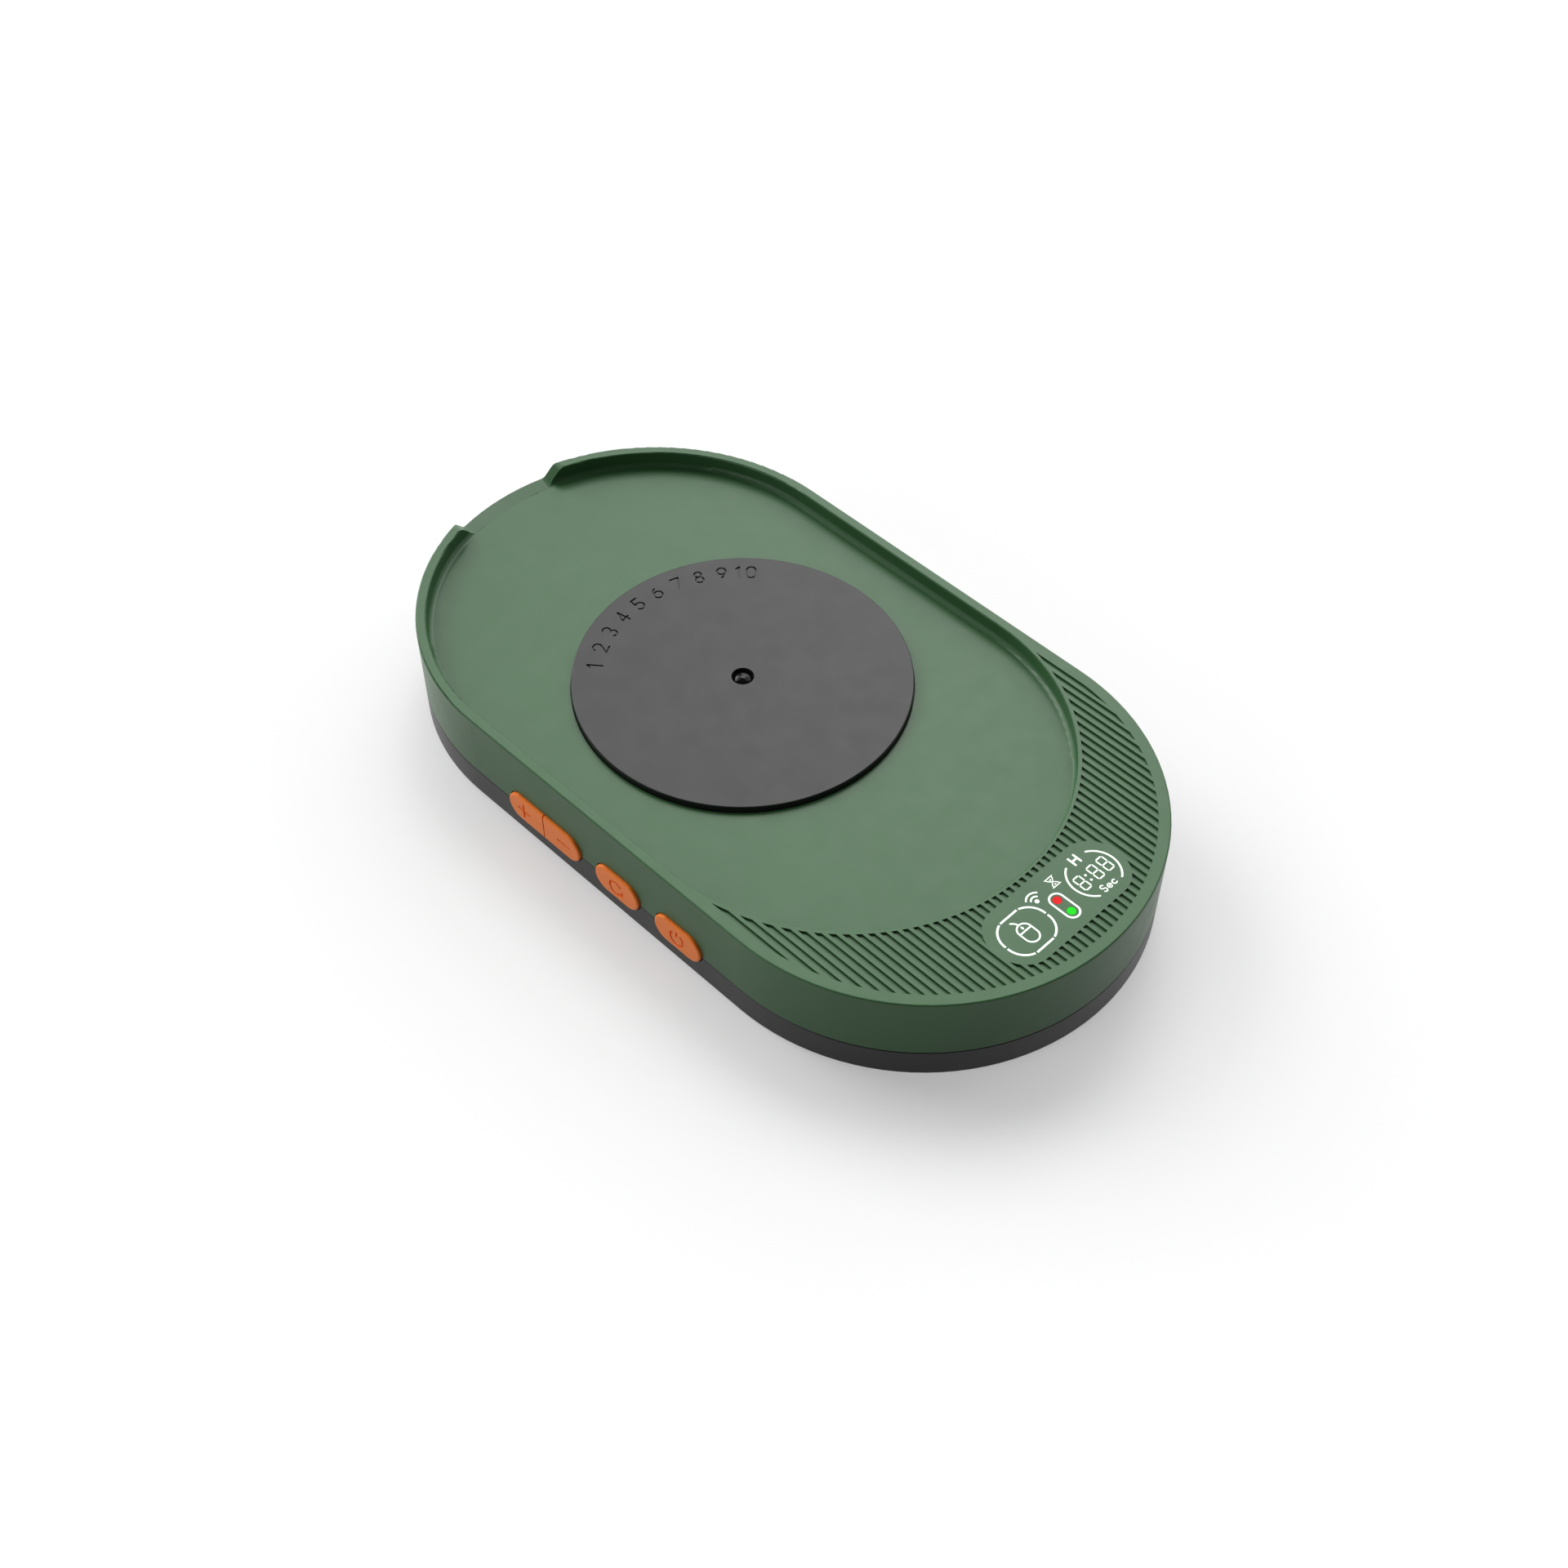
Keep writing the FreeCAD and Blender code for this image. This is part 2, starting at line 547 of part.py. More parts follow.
def gear_prism(teeth, width, turn_deg):
    """Spur gear on the origin, with the middle of one tooth at turn_deg."""
    pitch_r = MODULE * teeth / 2
    base_r = pitch_r * math.cos(math.radians(PRESSURE_DEG))
    tip_r = pitch_r + ADDENDUM * MODULE
    root_r = pitch_r - DEDENDUM * MODULE
    foot_r = max(root_r, base_r)
    lean = math.tan(math.radians(PRESSURE_DEG)) - math.radians(PRESSURE_DEG)
    half_tooth = (math.pi * MODULE / 2 - BACKLASH / 2) / (2 * pitch_r) + lean
    edges = []
    for tooth in range(teeth):
        middle = math.radians(turn_deg) + 2 * math.pi * tooth / teeth
        after = middle + 2 * math.pi / teeth
        right = [involute_point(base_r, r, middle - half_tooth, 1) for r in (foot_r, pitch_r, tip_r)]
        left = [involute_point(base_r, r, middle + half_tooth, -1) for r in (foot_r, pitch_r, tip_r)]
        following = involute_point(base_r, foot_r, after - half_tooth, 1)
        edges.append(Part.Arc(*right).toShape())
        tip_middle = V(tip_r * math.cos(middle), tip_r * math.sin(middle), 0)
        edges.append(Part.Arc(right[2], tip_middle, left[2]).toShape())
        edges.append(Part.Arc(left[2], left[1], left[0]).toShape())
        left_root = left[0]
        next_root = following
        if root_r < foot_r - 1e-6:
            left_root = V(left[0]).multiply(root_r / foot_r)
            next_root = V(following).multiply(root_r / foot_r)
            edges.append(Part.LineSegment(left[0], left_root).toShape())
        between = middle + math.pi / teeth
        root_middle = V(root_r * math.cos(between), root_r * math.sin(between), 0)
        edges.append(Part.Arc(left_root, root_middle, next_root).toShape())
        if root_r < foot_r - 1e-6:
            edges.append(Part.LineSegment(next_root, following).toShape())
    return Part.Face(Part.Wire(edges)).extrude(V(0, 0, width))


def gear_at(teeth, width, turn_deg, y, z):
    gear = gear_prism(teeth, width, turn_deg)
    gear.translate(V(0, y, z))
    return gear


# --- fasteners --------------------------------------------------------------------------

def pan_screw(head_r, head_h, shank_r, length, x, y, seat_z, points_up):
    """Pan-head screw with a cross recess. Its head's underside is at seat_z."""
    head = post(0, 0, head_r, 0, head_h)
    head = head.makeFillet(head_h * HEAD_ROUND, edges_at(head, head_h))
    arm = head_r * CROSS_REACH
    half = CROSS_W / 2
    foot = head_h - CROSS_DEPTH
    head = head.cut([box(-arm, arm, -half, half, foot, head_h), box(-half, half, -arm, arm, foot, head_h)])
    screw = head.fuse(post(0, 0, shank_r, -length, 0)).removeSplitter()
    if points_up:
        screw.rotate(V(0, 0, 0), V(1, 0, 0), 180)
    screw.translate(V(x, y, seat_z))
    return screw


# --- casing -----------------------------------------------------------------------------

def case_screw_places():
    y = HALF_STRAIGHT + CASE_SCREW_BEYOND
    return [(sx * CASE_SCREW_X, sy * y) for sx in (-1, 1) for sy in (-1, 1)]


def foot_places():
    y = HALF_STRAIGHT + FOOT_BEYOND
    return [(sx * FOOT_X, sy * y) for sx in (-1, 1) for sy in (-1, 1)]


def display_screw_places():
    y = DISPLAY_BACK_Y - DISPLAY_EAR_L / 2
    return [(-DISPLAY_SCREW_X, y), (DISPLAY_SCREW_X, y)]


def pill(mid_y, length, height, x0, x1):
    """Round-ended bar that lies along Y on the keys' middle height, from x0 to x1."""
    radius = height / 2
    reach = length / 2 - radius
    solid = stadium(radius, -reach, reach, x0, x1)
    solid.rotate(V(0, 0, 0), V(0, 1, 0), 90)
    solid.translate(V(0, mid_y, KEY_Z))
    return solid


def key_openings():
    """Three pill-shaped holes through the left wall, across the parting line."""
    holes = []
    for mid_y, length in ((VOLUME_MID_Y, VOLUME_L), (MODE_MID_Y, MODE_L), (POWER_MID_Y, POWER_L)):
        holes.append(pill(mid_y, length + 2 * KEY_GAP, KEY_H + 2 * KEY_GAP, -CASE_R - 1, -TRAY_R + 1))
    return holes


def key_bay(z0, z1):
    """Room behind the wall for the keys' flanges and their board."""
    inner_x = KEY_BOARD_X + KEY_BOARD_T + BOARD_SLOT_T
    return box(-TRAY_R, inner_x, KEY_BOARD_Y0 - KEY_BOARD_OVER, KEY_BOARD_Y1 + KEY_BOARD_OVER, z0, z1)


def tray_tool():
    """Space of the mouse tray, with a rounded foot."""
    tool = tray_prism(TRAY_R, TRAY_Z, TOP_Z + 1)
    return tool.makeFillet(TRAY_FILLET_R, edges_at(tool, TRAY_Z))


def notch_tool():
    """Space of the cable notch in the rim's back end, over a floor that rises outwards."""
    y0 = HALF_STRAIGHT + TRAY_R - 5 * RIM_T
    above = TOP_Z + RIM_T
    far = NOTCH_TOP_HALF + 4 * NOTCH_LIP_R
    right = [(V(NOTCH_FLOOR_HALF, y0, TRAY_Z), 0), (V(NOTCH_TOP_HALF, y0, TOP_Z), NOTCH_LIP_R),
             (V(far, y0, TOP_Z), 0), (V(far, y0, above), 0)]
    left = [(V(-p.x, p.y, p.z), r) for p, r in reversed(right)]
    face = Part.Face(rounded_outline(right + left))
    tool = face.extrude(V(0, 6 * RIM_T + CASE_R - TRAY_R, 0))
    foot_r = TRAY_R - TRAY_FILLET_R
    height = above - TRAY_Z
    spread = (CASE_R - foot_r) * height / NOTCH_RISE
    tool = tool.common(Part.makeCone(foot_r, foot_r + spread, height, V(0, HALF_STRAIGHT, TRAY_Z)))
    corners = [e for e in tool.Edges if on_notch_corner(e)]
    return tool.makeFillet(NOTCH_FOOT_R, corners)


def on_notch_corner(edge):
    """Whether an edge runs along the notch's rising floor, at the foot of a side."""
    extent = edge.BoundBox
    at_foot = extent.ZMin < TRAY_Z + NOTCH_RISE / 2 and extent.YLength > RIM_T
    return at_foot and abs(extent.Center.x) > NOTCH_FLOOR_HALF


def groove_zone(z0, z1):
    """Crescent of the deck that holds the grooves, without the display island."""
    zone = casing_prism(CASE_R - GROOVE_RIM_MARGIN, z0, z1)
    zone = zone.cut(tray_prism(TRAY_R + GROOVE_TRAY_MARGIN, z0 - 1, z1 + 1))
    zone = zone.common(box(-CASE_R, CASE_R, -HALF_STRAIGHT - CASE_R, TRAY_FRONT_Y, z0, z1))
    island = rounded_block(-ISLAND_HALF_W, ISLAND_HALF_W, ISLAND_Y1 - ISLAND_L, ISLAND_Y1,
                           z0 - 1, z1 + 1, ISLAND_R)
    return zone.cut(island)


def groove_tools():
    """Straight grooves along Y, evenly spaced across the deck."""
    z0 = TOP_Z - GROOVE_DEPTH
    z1 = TOP_Z + GROOVE_DEPTH
    zone = groove_zone(z0, z1)
    half_count = int((CASE_R - GROOVE_RIM_MARGIN - GROOVE_W / 2) / GROOVE_PITCH + 0.5)
    front_y = -HALF_STRAIGHT - CASE_R
    half = GROOVE_W / 2
    bars = []
    for i in range(-half_count, half_count):
        x = (i + 0.5) * GROOVE_PITCH
        bars.append(box(x - half, x + half, front_y, TRAY_FRONT_Y, z0, z1))
    cut_bars = zone.common(Part.makeCompound(bars))
    return [solid for solid in cut_bars.Solids if solid.Volume > GROOVE_W ** 2 * GROOVE_DEPTH]


def usb_port_tool():
    """Hole for the socket through the back wall."""
    mid_z = BOARD_TOP_Z + USB_H / 2
    width = USB_W + 2 * USB_PORT_GAP
    height = USB_H + 2 * USB_PORT_GAP
    y0 = USB_MOUTH_Y - USB_L
    hole = stadium(height / 2, -(width - height) / 2, (width - height) / 2, 0, BACK_FACE_Y + 1 - y0)
    hole.rotate(V(0, 0, 0), UP, 90)
    hole.rotate(V(0, 0, 0), V(1, 0, 0), -90)
    hole.translate(V(0, y0, mid_z))
    return hole


def upper_housing():
    shell = casing_prism(CASE_R, PARTING_Z, TOP_Z)
    shell = shell.makeFillet(RIM_EDGE_R, edges_at(shell, TOP_Z))
    shell = shell.makeChamfer(SEAM_BEVEL, edges_at(shell, PARTING_Z))
    shell = shell.cut(casing_prism(TRAY_R, PARTING_Z, TRAY_UNDER_Z))
    under_deck = casing_prism(TRAY_R, TRAY_UNDER_Z - 1, DECK_UNDER_Z)
    under_deck = under_deck.cut(tray_prism(TRAY_R + RIM_T, TRAY_UNDER_Z - 2, DECK_UNDER_Z + 1))
    shell = shell.cut(under_deck)
    shell = shell.cut(tray_tool())
    inner_rim = [e for e in edges_at(shell, TOP_Z)
                 if e.BoundBox.YMax > TRAY_FRONT_Y - TRAY_R - RIM_INNER_R and on_tray_edge(e)]
    shell = shell.makeFillet(RIM_INNER_R, inner_rim)
    shell = shell.cut(notch_tool())
    shell = shell.fuse(post(0, TABLE_Y, WELL_R + RIM_T, WELL_UNDER_Z, TRAY_Z - WELL_DEPTH / 2))
    for x, y in case_screw_places():
        roof = TRAY_UNDER_Z if y > 0 else DECK_UNDER_Z
        shell = shell.fuse(post(x, y, BOSS_R, FLOOR_Z + COLUMN_H, roof + FLOOR_T / 2))
    for x, y in display_screw_places():
        shell = shell.fuse(post(x, y, SMALL_POST_R, DISPLAY_TOP_Z, DECK_UNDER_Z + DECK_T / 2))
    shell = shell.cut(post(0, TABLE_Y, WELL_R, WELL_Z, TOP_Z))
    shell = shell.cut(post(0, TABLE_Y, SLEEVE_HOLE_R, WELL_UNDER_Z, TOP_Z))
    socket_top = WELL_UNDER_Z + TRAY_FLOOR_T / 2
    shell = shell.cut(post(0, REDUCTION_Y, REDUCTION_AXLE_R + PRESS_GAP, WELL_UNDER_Z, socket_top))
    for x, y in case_screw_places():
        seat = BASE_Z + CASE_SCREW_DEPTH
        shell = shell.cut(post(x, y, SCREW_R + THREAD_GAP, seat, seat + CASE_SCREW_L + END_PLAY))
    for x, y in display_screw_places():
        tip = DISPLAY_Z + SMALL_SCREW_L + END_PLAY
        shell = shell.cut(post(x, y, SMALL_SCREW_R + THREAD_GAP, DISPLAY_Z, tip))
    for y in lamp_places():
        shell = shell.cut(post(LAMP_X, y, LENS_R + LENS_GAP, DECK_UNDER_Z - 1, TOP_Z + 1))
    shell = shell.cut(key_openings())
    shell = shell.cut(usb_port_tool())
    shell = shell.cut(groove_tools())
    return shell.removeSplitter()


def on_tray_edge(edge):
    """Whether an edge follows the tray's outline."""
    point = edge.valueAt((edge.FirstParameter + edge.LastParameter) / 2)
    y = min(max(point.y, TRAY_FRONT_Y), HALF_STRAIGHT)
    return abs(math.hypot(point.x, point.y - y) - TRAY_R) < 1e-3


def lower_housing():
    shell = casing_prism(CASE_R, BASE_Z, PARTING_Z)
    shell = shell.makeFillet(BASE_EDGE_R, edges_at(shell, BASE_Z))
    shell = shell.makeChamfer(SEAM_BEVEL, edges_at(shell, PARTING_Z))
    shell = shell.fuse(casing_prism(LIP_OUTER_R, FLOOR_Z, LIP_TOP_Z))
    shell = shell.cut(casing_prism(LIP_INNER_R, FLOOR_Z, LIP_TOP_Z + 1))
    shell = shell.cut(key_bay(FLOOR_Z, LIP_TOP_Z + 1))
    additions = [post(0, TABLE_Y, 2 * TABLE_AXLE_R, FLOOR_Z, POST_Z)]
    additions.append(post(0, REDUCTION_Y, REDUCTION_POST_R, FLOOR_Z, LOWER_GEAR_Z - END_PLAY))
    additions.append(post(0, MOTOR_Y, MOTOR_R + MOTOR_CUP_T, FLOOR_Z, MOTOR_Z + MOTOR_CUP_H))
    for side in (-1, 1):
        additions.append(post(side * BRACKET_HOLE_X, MOTOR_Y, SMALL_POST_R, FLOOR_Z, MOTOR_TOP_Z))
    for x, y in case_screw_places():
        additions.append(post(x, y, COLUMN_R, BASE_Z + BASE_EDGE_R, FLOOR_Z + COLUMN_H))
    for x, y in main_board_screw_places():
        additions.append(post(x, y, SMALL_POST_R, FLOOR_Z, BOARD_Z))
    additions.append(battery_frame())
    additions.extend(key_board_ribs())
    shell = shell.fuse(additions)
    shell = shell.cut(post(0, TABLE_Y, TABLE_AXLE_R + PRESS_GAP, AXLE_BOTTOM_Z, POST_Z + 1))
    shell = shell.cut(post(0, REDUCTION_Y, REDUCTION_AXLE_R + PRESS_GAP, AXLE_BOTTOM_Z, LOWER_GEAR_Z))
    shell = shell.cut(post(0, MOTOR_Y, MOTOR_R + LIP_GAP, MOTOR_Z, MOTOR_TOP_Z))
    lead_slot = box(0, MOTOR_R + 2 * MOTOR_CUP_T, -4 * WIRE_R, 4 * WIRE_R, MOTOR_Z, MOTOR_TOP_Z)
    lead_slot.rotate(V(0, 0, 0), UP, MOTOR_LEAD_DEG)
    lead_slot.translate(V(0, MOTOR_Y, 0))
    shell = shell.cut(lead_slot)
    for side in (-1, 1):
        shell = shell.cut(post(side * BRACKET_HOLE_X, MOTOR_Y, SMALL_SCREW_R + THREAD_GAP,
                               MOTOR_TOP_Z + BRACKET_T - SMALL_SCREW_L - END_PLAY, MOTOR_TOP_Z))
    for x, y in case_screw_places():
        seat = BASE_Z + CASE_SCREW_DEPTH
        shell = shell.cut(post(x, y, SCREW_HEAD_R + SCREW_HOLE_GAP, BASE_Z, seat))
        shell = shell.cut(post(x, y, SCREW_R + SCREW_HOLE_GAP, BASE_Z, FLOOR_Z + COLUMN_H))
    for x, y in foot_places():
        shell = shell.cut(post(x, y, FOOT_R + FOOT_GAP, BASE_Z, BASE_Z + FOOT_RECESS))
    tip = BOARD_TOP_Z - SMALL_SCREW_L - END_PLAY
    for x, y in main_board_screw_places():
        shell = shell.cut(post(x, y, SMALL_SCREW_R + THREAD_GAP, tip, BOARD_Z))
    shell = shell.cut(key_openings())
    shell = shell.cut(usb_port_tool())
    return shell.removeSplitter()


def housing_screws():
    seat = BASE_Z + CASE_SCREW_DEPTH
    return [pan_screw(SCREW_HEAD_R, SCREW_HEAD_H, SCREW_R, CASE_SCREW_L, x, y, seat, True)
            for x, y in case_screw_places()]


def rubber_feet():
    feet = []
    for x, y in foot_places():
        foot = post(x, y, FOOT_R, 0, BASE_Z + FOOT_RECESS)
        feet.append(foot.makeFillet(FOOT_EDGE_R, edges_at(foot, 0)))
    return feet


# --- turntable and its gear train -------------------------------------------------------

def turntable_disc():
    disc = post(0, TABLE_Y, DISC_R, DISC_Z, DISC_TOP_Z)
    disc = disc.makeFillet(DISC_EDGE_R, edges_at(disc, DISC_TOP_Z))
    disc = disc.fuse(post(0, TABLE_Y, SLEEVE_R, SLEEVE_Z, DISC_Z))
    half = SPIGOT_W / 2 + SPIGOT_GAP
    disc = disc.cut(box(-half, half, TABLE_Y - half, TABLE_Y + half, SLEEVE_Z, SOCKET_TOP_Z))
    disc = disc.cut(post(0, TABLE_Y, SCREW_WELL_R, SCREW_SEAT_Z, DISC_TOP_Z))
    disc = disc.cut(post(0, TABLE_Y, SMALL_SCREW_R + SCREW_HOLE_GAP, SOCKET_TOP_Z, DISC_TOP_Z))
    return disc.cut(scale_strokes()).removeSplitter()


def turntable_gear():
    half = SPIGOT_W / 2
    spigot_top = SOCKET_TOP_Z - END_PLAY
    gear = gear_at(TABLE_TEETH, LOWER_GEAR_W, -90, TABLE_Y, LOWER_GEAR_Z)
    gear = gear.fuse(post(0, TABLE_Y, HUB_R, HUB_Z, UPPER_GEAR_TOP))
    gear = gear.fuse(box(-half, half, TABLE_Y - half, TABLE_Y + half, UPPER_GEAR_TOP, spigot_top))
    gear = gear.cut(post(0, TABLE_Y, BUSH_R + PRESS_GAP, HUB_Z, BUSH_TOP_Z))
    screw_tip = SCREW_SEAT_Z - SMALL_SCREW_L - END_PLAY
    gear = gear.cut(post(0, TABLE_Y, SMALL_SCREW_R + THREAD_GAP, screw_tip, SOCKET_TOP_Z))
    return gear.removeSplitter()


def hub_bush():
    return ring(0, TABLE_Y, BUSH_R, TABLE_AXLE_R + RUNNING_GAP, HUB_Z, BUSH_TOP_Z)


def hub_screw():
    """Domed button-head screw in the disc's centre."""
    head_r = SCREW_WELL_R - HUB_HEAD_GAP
    sphere_r = (head_r ** 2 + HUB_DOME_H ** 2) / (2 * HUB_DOME_H)
    sphere = Part.makeSphere(sphere_r, V(0, TABLE_Y, SCREW_SEAT_Z + HUB_DOME_H - sphere_r))
    dome = sphere.common(post(0, TABLE_Y, head_r, SCREW_SEAT_Z, DISC_TOP_Z))
    return dome.fuse(post(0, TABLE_Y, SMALL_SCREW_R, SCREW_SEAT_Z - SMALL_SCREW_L, SCREW_SEAT_Z))


def turntable_axle():
    return post(0, TABLE_Y, TABLE_AXLE_R, AXLE_BOTTOM_Z, BUSH_TOP_Z - AXLE_TOP_GAP)


def thrust_washer():
    return ring(0, TABLE_Y, 2 * TABLE_AXLE_R, TABLE_AXLE_R + RUNNING_GAP, POST_Z, POST_Z + WASHER_T)


def reduction_gear():
    """Small gear that meets the turntable's, and a large one above it on the same hub."""
    half_gap = 180.0 / SMALL_TEETH
    gear = gear_at(SMALL_TEETH, LOWER_GEAR_W + LEVEL_GAP, 90 + half_gap, REDUCTION_Y, LOWER_GEAR_Z)
    gear = gear.fuse(gear_at(LARGE_TEETH, UPPER_GEAR_W, -90, REDUCTION_Y, UPPER_GEAR_Z))
    hub_top = UPPER_GEAR_TOP + GEAR_HEADROOM / 2
    gear = gear.fuse(post(0, REDUCTION_Y, REDUCTION_HUB_R, UPPER_GEAR_TOP, hub_top))
    gear = gear.cut(post(0, REDUCTION_Y, REDUCTION_AXLE_R + RUNNING_GAP, LOWER_GEAR_Z, WELL_UNDER_Z))
    return gear.removeSplitter()


def reduction_axle():
    top = WELL_UNDER_Z + TRAY_FLOOR_T / 2 - END_PLAY
    return post(0, REDUCTION_Y, REDUCTION_AXLE_R, AXLE_BOTTOM_Z, top)


# --- motor ------------------------------------------------------------------------------

def motor_can():
    can = post(0, MOTOR_Y, MOTOR_R, MOTOR_Z, MOTOR_TOP_Z - MOTOR_CAP_T)
    can = can.makeFillet(MOTOR_SKIN, edges_at(can, MOTOR_Z))
    return can.cut(post(0, MOTOR_Y, MOTOR_R - MOTOR_SKIN, MOTOR_Z + MOTOR_SKIN, MOTOR_TOP_Z))


def motor_cap():
    cap = post(0, MOTOR_Y, MOTOR_R, MOTOR_TOP_Z - MOTOR_CAP_T, MOTOR_TOP_Z)
    cap = cap.fuse(post(0, MOTOR_Y, MOTOR_BOSS_R, MOTOR_TOP_Z, MOTOR_TOP_Z + MOTOR_BOSS_H))
    cap = cap.cut(post(0, MOTOR_Y, MOTOR_SHAFT_R + RUNNING_GAP, MOTOR_Z, UPPER_GEAR_Z))
    return cap.removeSplitter()


def motor_inner_z():
    """Bottom and top of what sits between the can's floor and its cap."""
    return MOTOR_Z + MOTOR_SKIN + COIL_GAP, MOTOR_TOP_Z - MOTOR_CAP_T - COIL_GAP


def motor_coil():
    z0, z1 = motor_inner_z()
    return ring(0, MOTOR_Y, MOTOR_R - MOTOR_SKIN - LIP_GAP, MAGNET_R + COIL_GAP, z0 - COIL_GAP, z1)


def motor_magnet():
    z0, z1 = motor_inner_z()
    return ring(0, MOTOR_Y, MAGNET_R, MOTOR_SHAFT_R + PRESS_GAP, z0, z1)


def motor_shaft():
    return post(0, MOTOR_Y, MOTOR_SHAFT_R, MOTOR_Z + MOTOR_SKIN + END_PLAY, UPPER_GEAR_TOP + END_PLAY)


def motor_pinion():
    half_gap = 180.0 / PINION_TEETH
    bottom = UPPER_GEAR_Z - END_PLAY
    pinion = gear_at(PINION_TEETH, UPPER_GEAR_W + 2 * END_PLAY, 90 + half_gap, MOTOR_Y, bottom)
    return pinion.cut(post(0, MOTOR_Y, MOTOR_SHAFT_R + PRESS_GAP, bottom, WELL_UNDER_Z))


def motor_bracket():
    reach = BRACKET_HOLE_X + BRACKET_END
    plate = rounded_block(-reach, reach, MOTOR_Y - BRACKET_W / 2, MOTOR_Y + BRACKET_W / 2,
                          MOTOR_TOP_Z, MOTOR_TOP_Z + BRACKET_T, BRACKET_END)
    plate = plate.cut(post(0, MOTOR_Y, MOTOR_BOSS_R + LIP_GAP, MOTOR_TOP_Z, UPPER_GEAR_Z))
    for side in (-1, 1):
        plate = plate.cut(post(side * BRACKET_HOLE_X, MOTOR_Y, SMALL_SCREW_R + SCREW_HOLE_GAP,
                               MOTOR_TOP_Z, UPPER_GEAR_Z))
    return plate


def motor_bracket_screws():
    seat = MOTOR_TOP_Z + BRACKET_T
    return [pan_screw(SMALL_HEAD_R, SMALL_HEAD_H, SMALL_SCREW_R, SMALL_SCREW_L, side * BRACKET_HOLE_X,
                      MOTOR_Y, seat, False) for side in (-1, 1)]


# --- keys -------------------------------------------------------------------------------

def on_key_face(strokes, mid_y):
    """Places strokes, drawn upright about the origin, in a key's outer face."""
    solid = Part.makeCompound(strokes)
    solid.rotate(V(0, 0, 0), UP, -90)
    solid.rotate(V(0, 0, 0), V(0, 1, 0), -90)
    solid.translate(V(-CASE_R - KEY_PROUD + SYMBOL_DEPTH, mid_y, KEY_Z))
    return solid.Solids


def symbol_line(x0, y0, x1, y1):
    return stroke_line(x0, y0, x1, y1, SYMBOL_W, 2 * SYMBOL_DEPTH)


def symbol_arc(radius, start_deg, sweep_deg):
    return stroke_arc(0, 0, radius, start_deg, sweep_deg, SYMBOL_W, 2 * SYMBOL_DEPTH)


def plus_symbol():
    half = SYMBOL_SIZE / 2
    return [symbol_line(-half, 0, half, 0).fuse(symbol_line(0, -half, 0, half))]


def minus_symbol():
    half = SYMBOL_SIZE / 2
    return [symbol_line(-half, 0, half, 0)]


def cycle_symbol():
    """Open circle with an arrow head on its lower end."""
    tip = SYMBOL_SIZE / 2
    loop = symbol_arc(tip, CYCLE_START_DEG, SYMBOL_SWEEP_DEG)
    first = symbol_line(tip, -ARROW_DROP, tip, ARROW_BARB - ARROW_DROP)
    second = symbol_line(tip - ARROW_BARB, -ARROW_DROP, tip, -ARROW_DROP)
    return [loop.fuse([first, second])]


def power_symbol():
    loop = symbol_arc(SYMBOL_SIZE / 2, POWER_START_DEG, SYMBOL_SWEEP_DEG)
    return [loop, symbol_line(0, POWER_BAR_LOW, 0, POWER_BAR_HIGH)]


def key_blank(mid_y, length):
    """Pill that stands proud of the wall, with a retaining flange behind the wall."""
    cap = pill(mid_y, length, KEY_H, -CASE_R - KEY_PROUD, KEY_BACK_X)
    face_x = -CASE_R - KEY_PROUD
    rim = [e for e in cap.Edges
           if abs(e.BoundBox.XMin - face_x) < 1e-4 and abs(e.BoundBox.XMax - face_x) < 1e-4]
    cap = cap.makeFillet(KEY_EDGE_R, rim)
    wide = 2 * KEY_FLANGE_LIP
    flange = pill(mid_y, length + wide, KEY_H + wide, KEY_BACK_X - KEY_FLANGE_T, KEY_BACK_X)
    return cap.fuse(flange).removeSplitter()


def half_key(first_half):
    """One half of the volume pill; the halves meet at a narrow split."""
    blank = key_blank(VOLUME_MID_Y, VOLUME_L)
    room = VOLUME_L
    split = KEY_SPLIT / 2
    if first_half:
        keep = box(-CASE_R - room, 0, VOLUME_MID_Y + split, VOLUME_MID_Y + room, 0, TOP_Z)
    else:
        keep = box(-CASE_R - room, 0, VOLUME_MID_Y - room, VOLUME_MID_Y - split, 0, TOP_Z)
    return blank.common(keep)


def plus_key_y():
    return VOLUME_MID_Y + VOLUME_L / 4


def minus_key_y():
    return VOLUME_MID_Y - VOLUME_L / 4


def plus_key():
    return half_key(True).cut(on_key_face(plus_symbol(), plus_key_y() + SYMBOL_OUT))


def minus_key():
    return half_key(False).cut(on_key_face(minus_symbol(), minus_key_y() - SYMBOL_OUT))


def mode_key():
    return key_blank(MODE_MID_Y, MODE_L).cut(on_key_face(cycle_symbol(), MODE_MID_Y))


def power_key():
    return key_blank(POWER_MID_Y, POWER_L).cut(on_key_face(power_symbol(), POWER_MID_Y))


def key_plunger(y):
    length = PLUNGER_SHOWN + PLUNGER_HIDDEN
    return Part.makeCylinder(PLUNGER_R, length, V(KEY_BACK_X, y, KEY_Z), V(1, 0, 0))


def key_places():
    return [plus_key_y(), minus_key_y(), MODE_MID_Y, POWER_MID_Y]


def key_switches():
    switches = []
    half = SWITCH_W / 2
    for y in key_places():
        body = box(SWITCH_X, KEY_BOARD_X, y - half, y + half, KEY_Z - half, KEY_Z + half)
        depth = PLUNGER_HIDDEN + KEY_TRAVEL + PLUNGER_GAP
        hole = Part.makeCylinder(PLUNGER_R + PLUNGER_GAP, depth, V(SWITCH_X, y, KEY_Z), V(1, 0, 0))
        switches.append(body.cut(hole))
    return switches


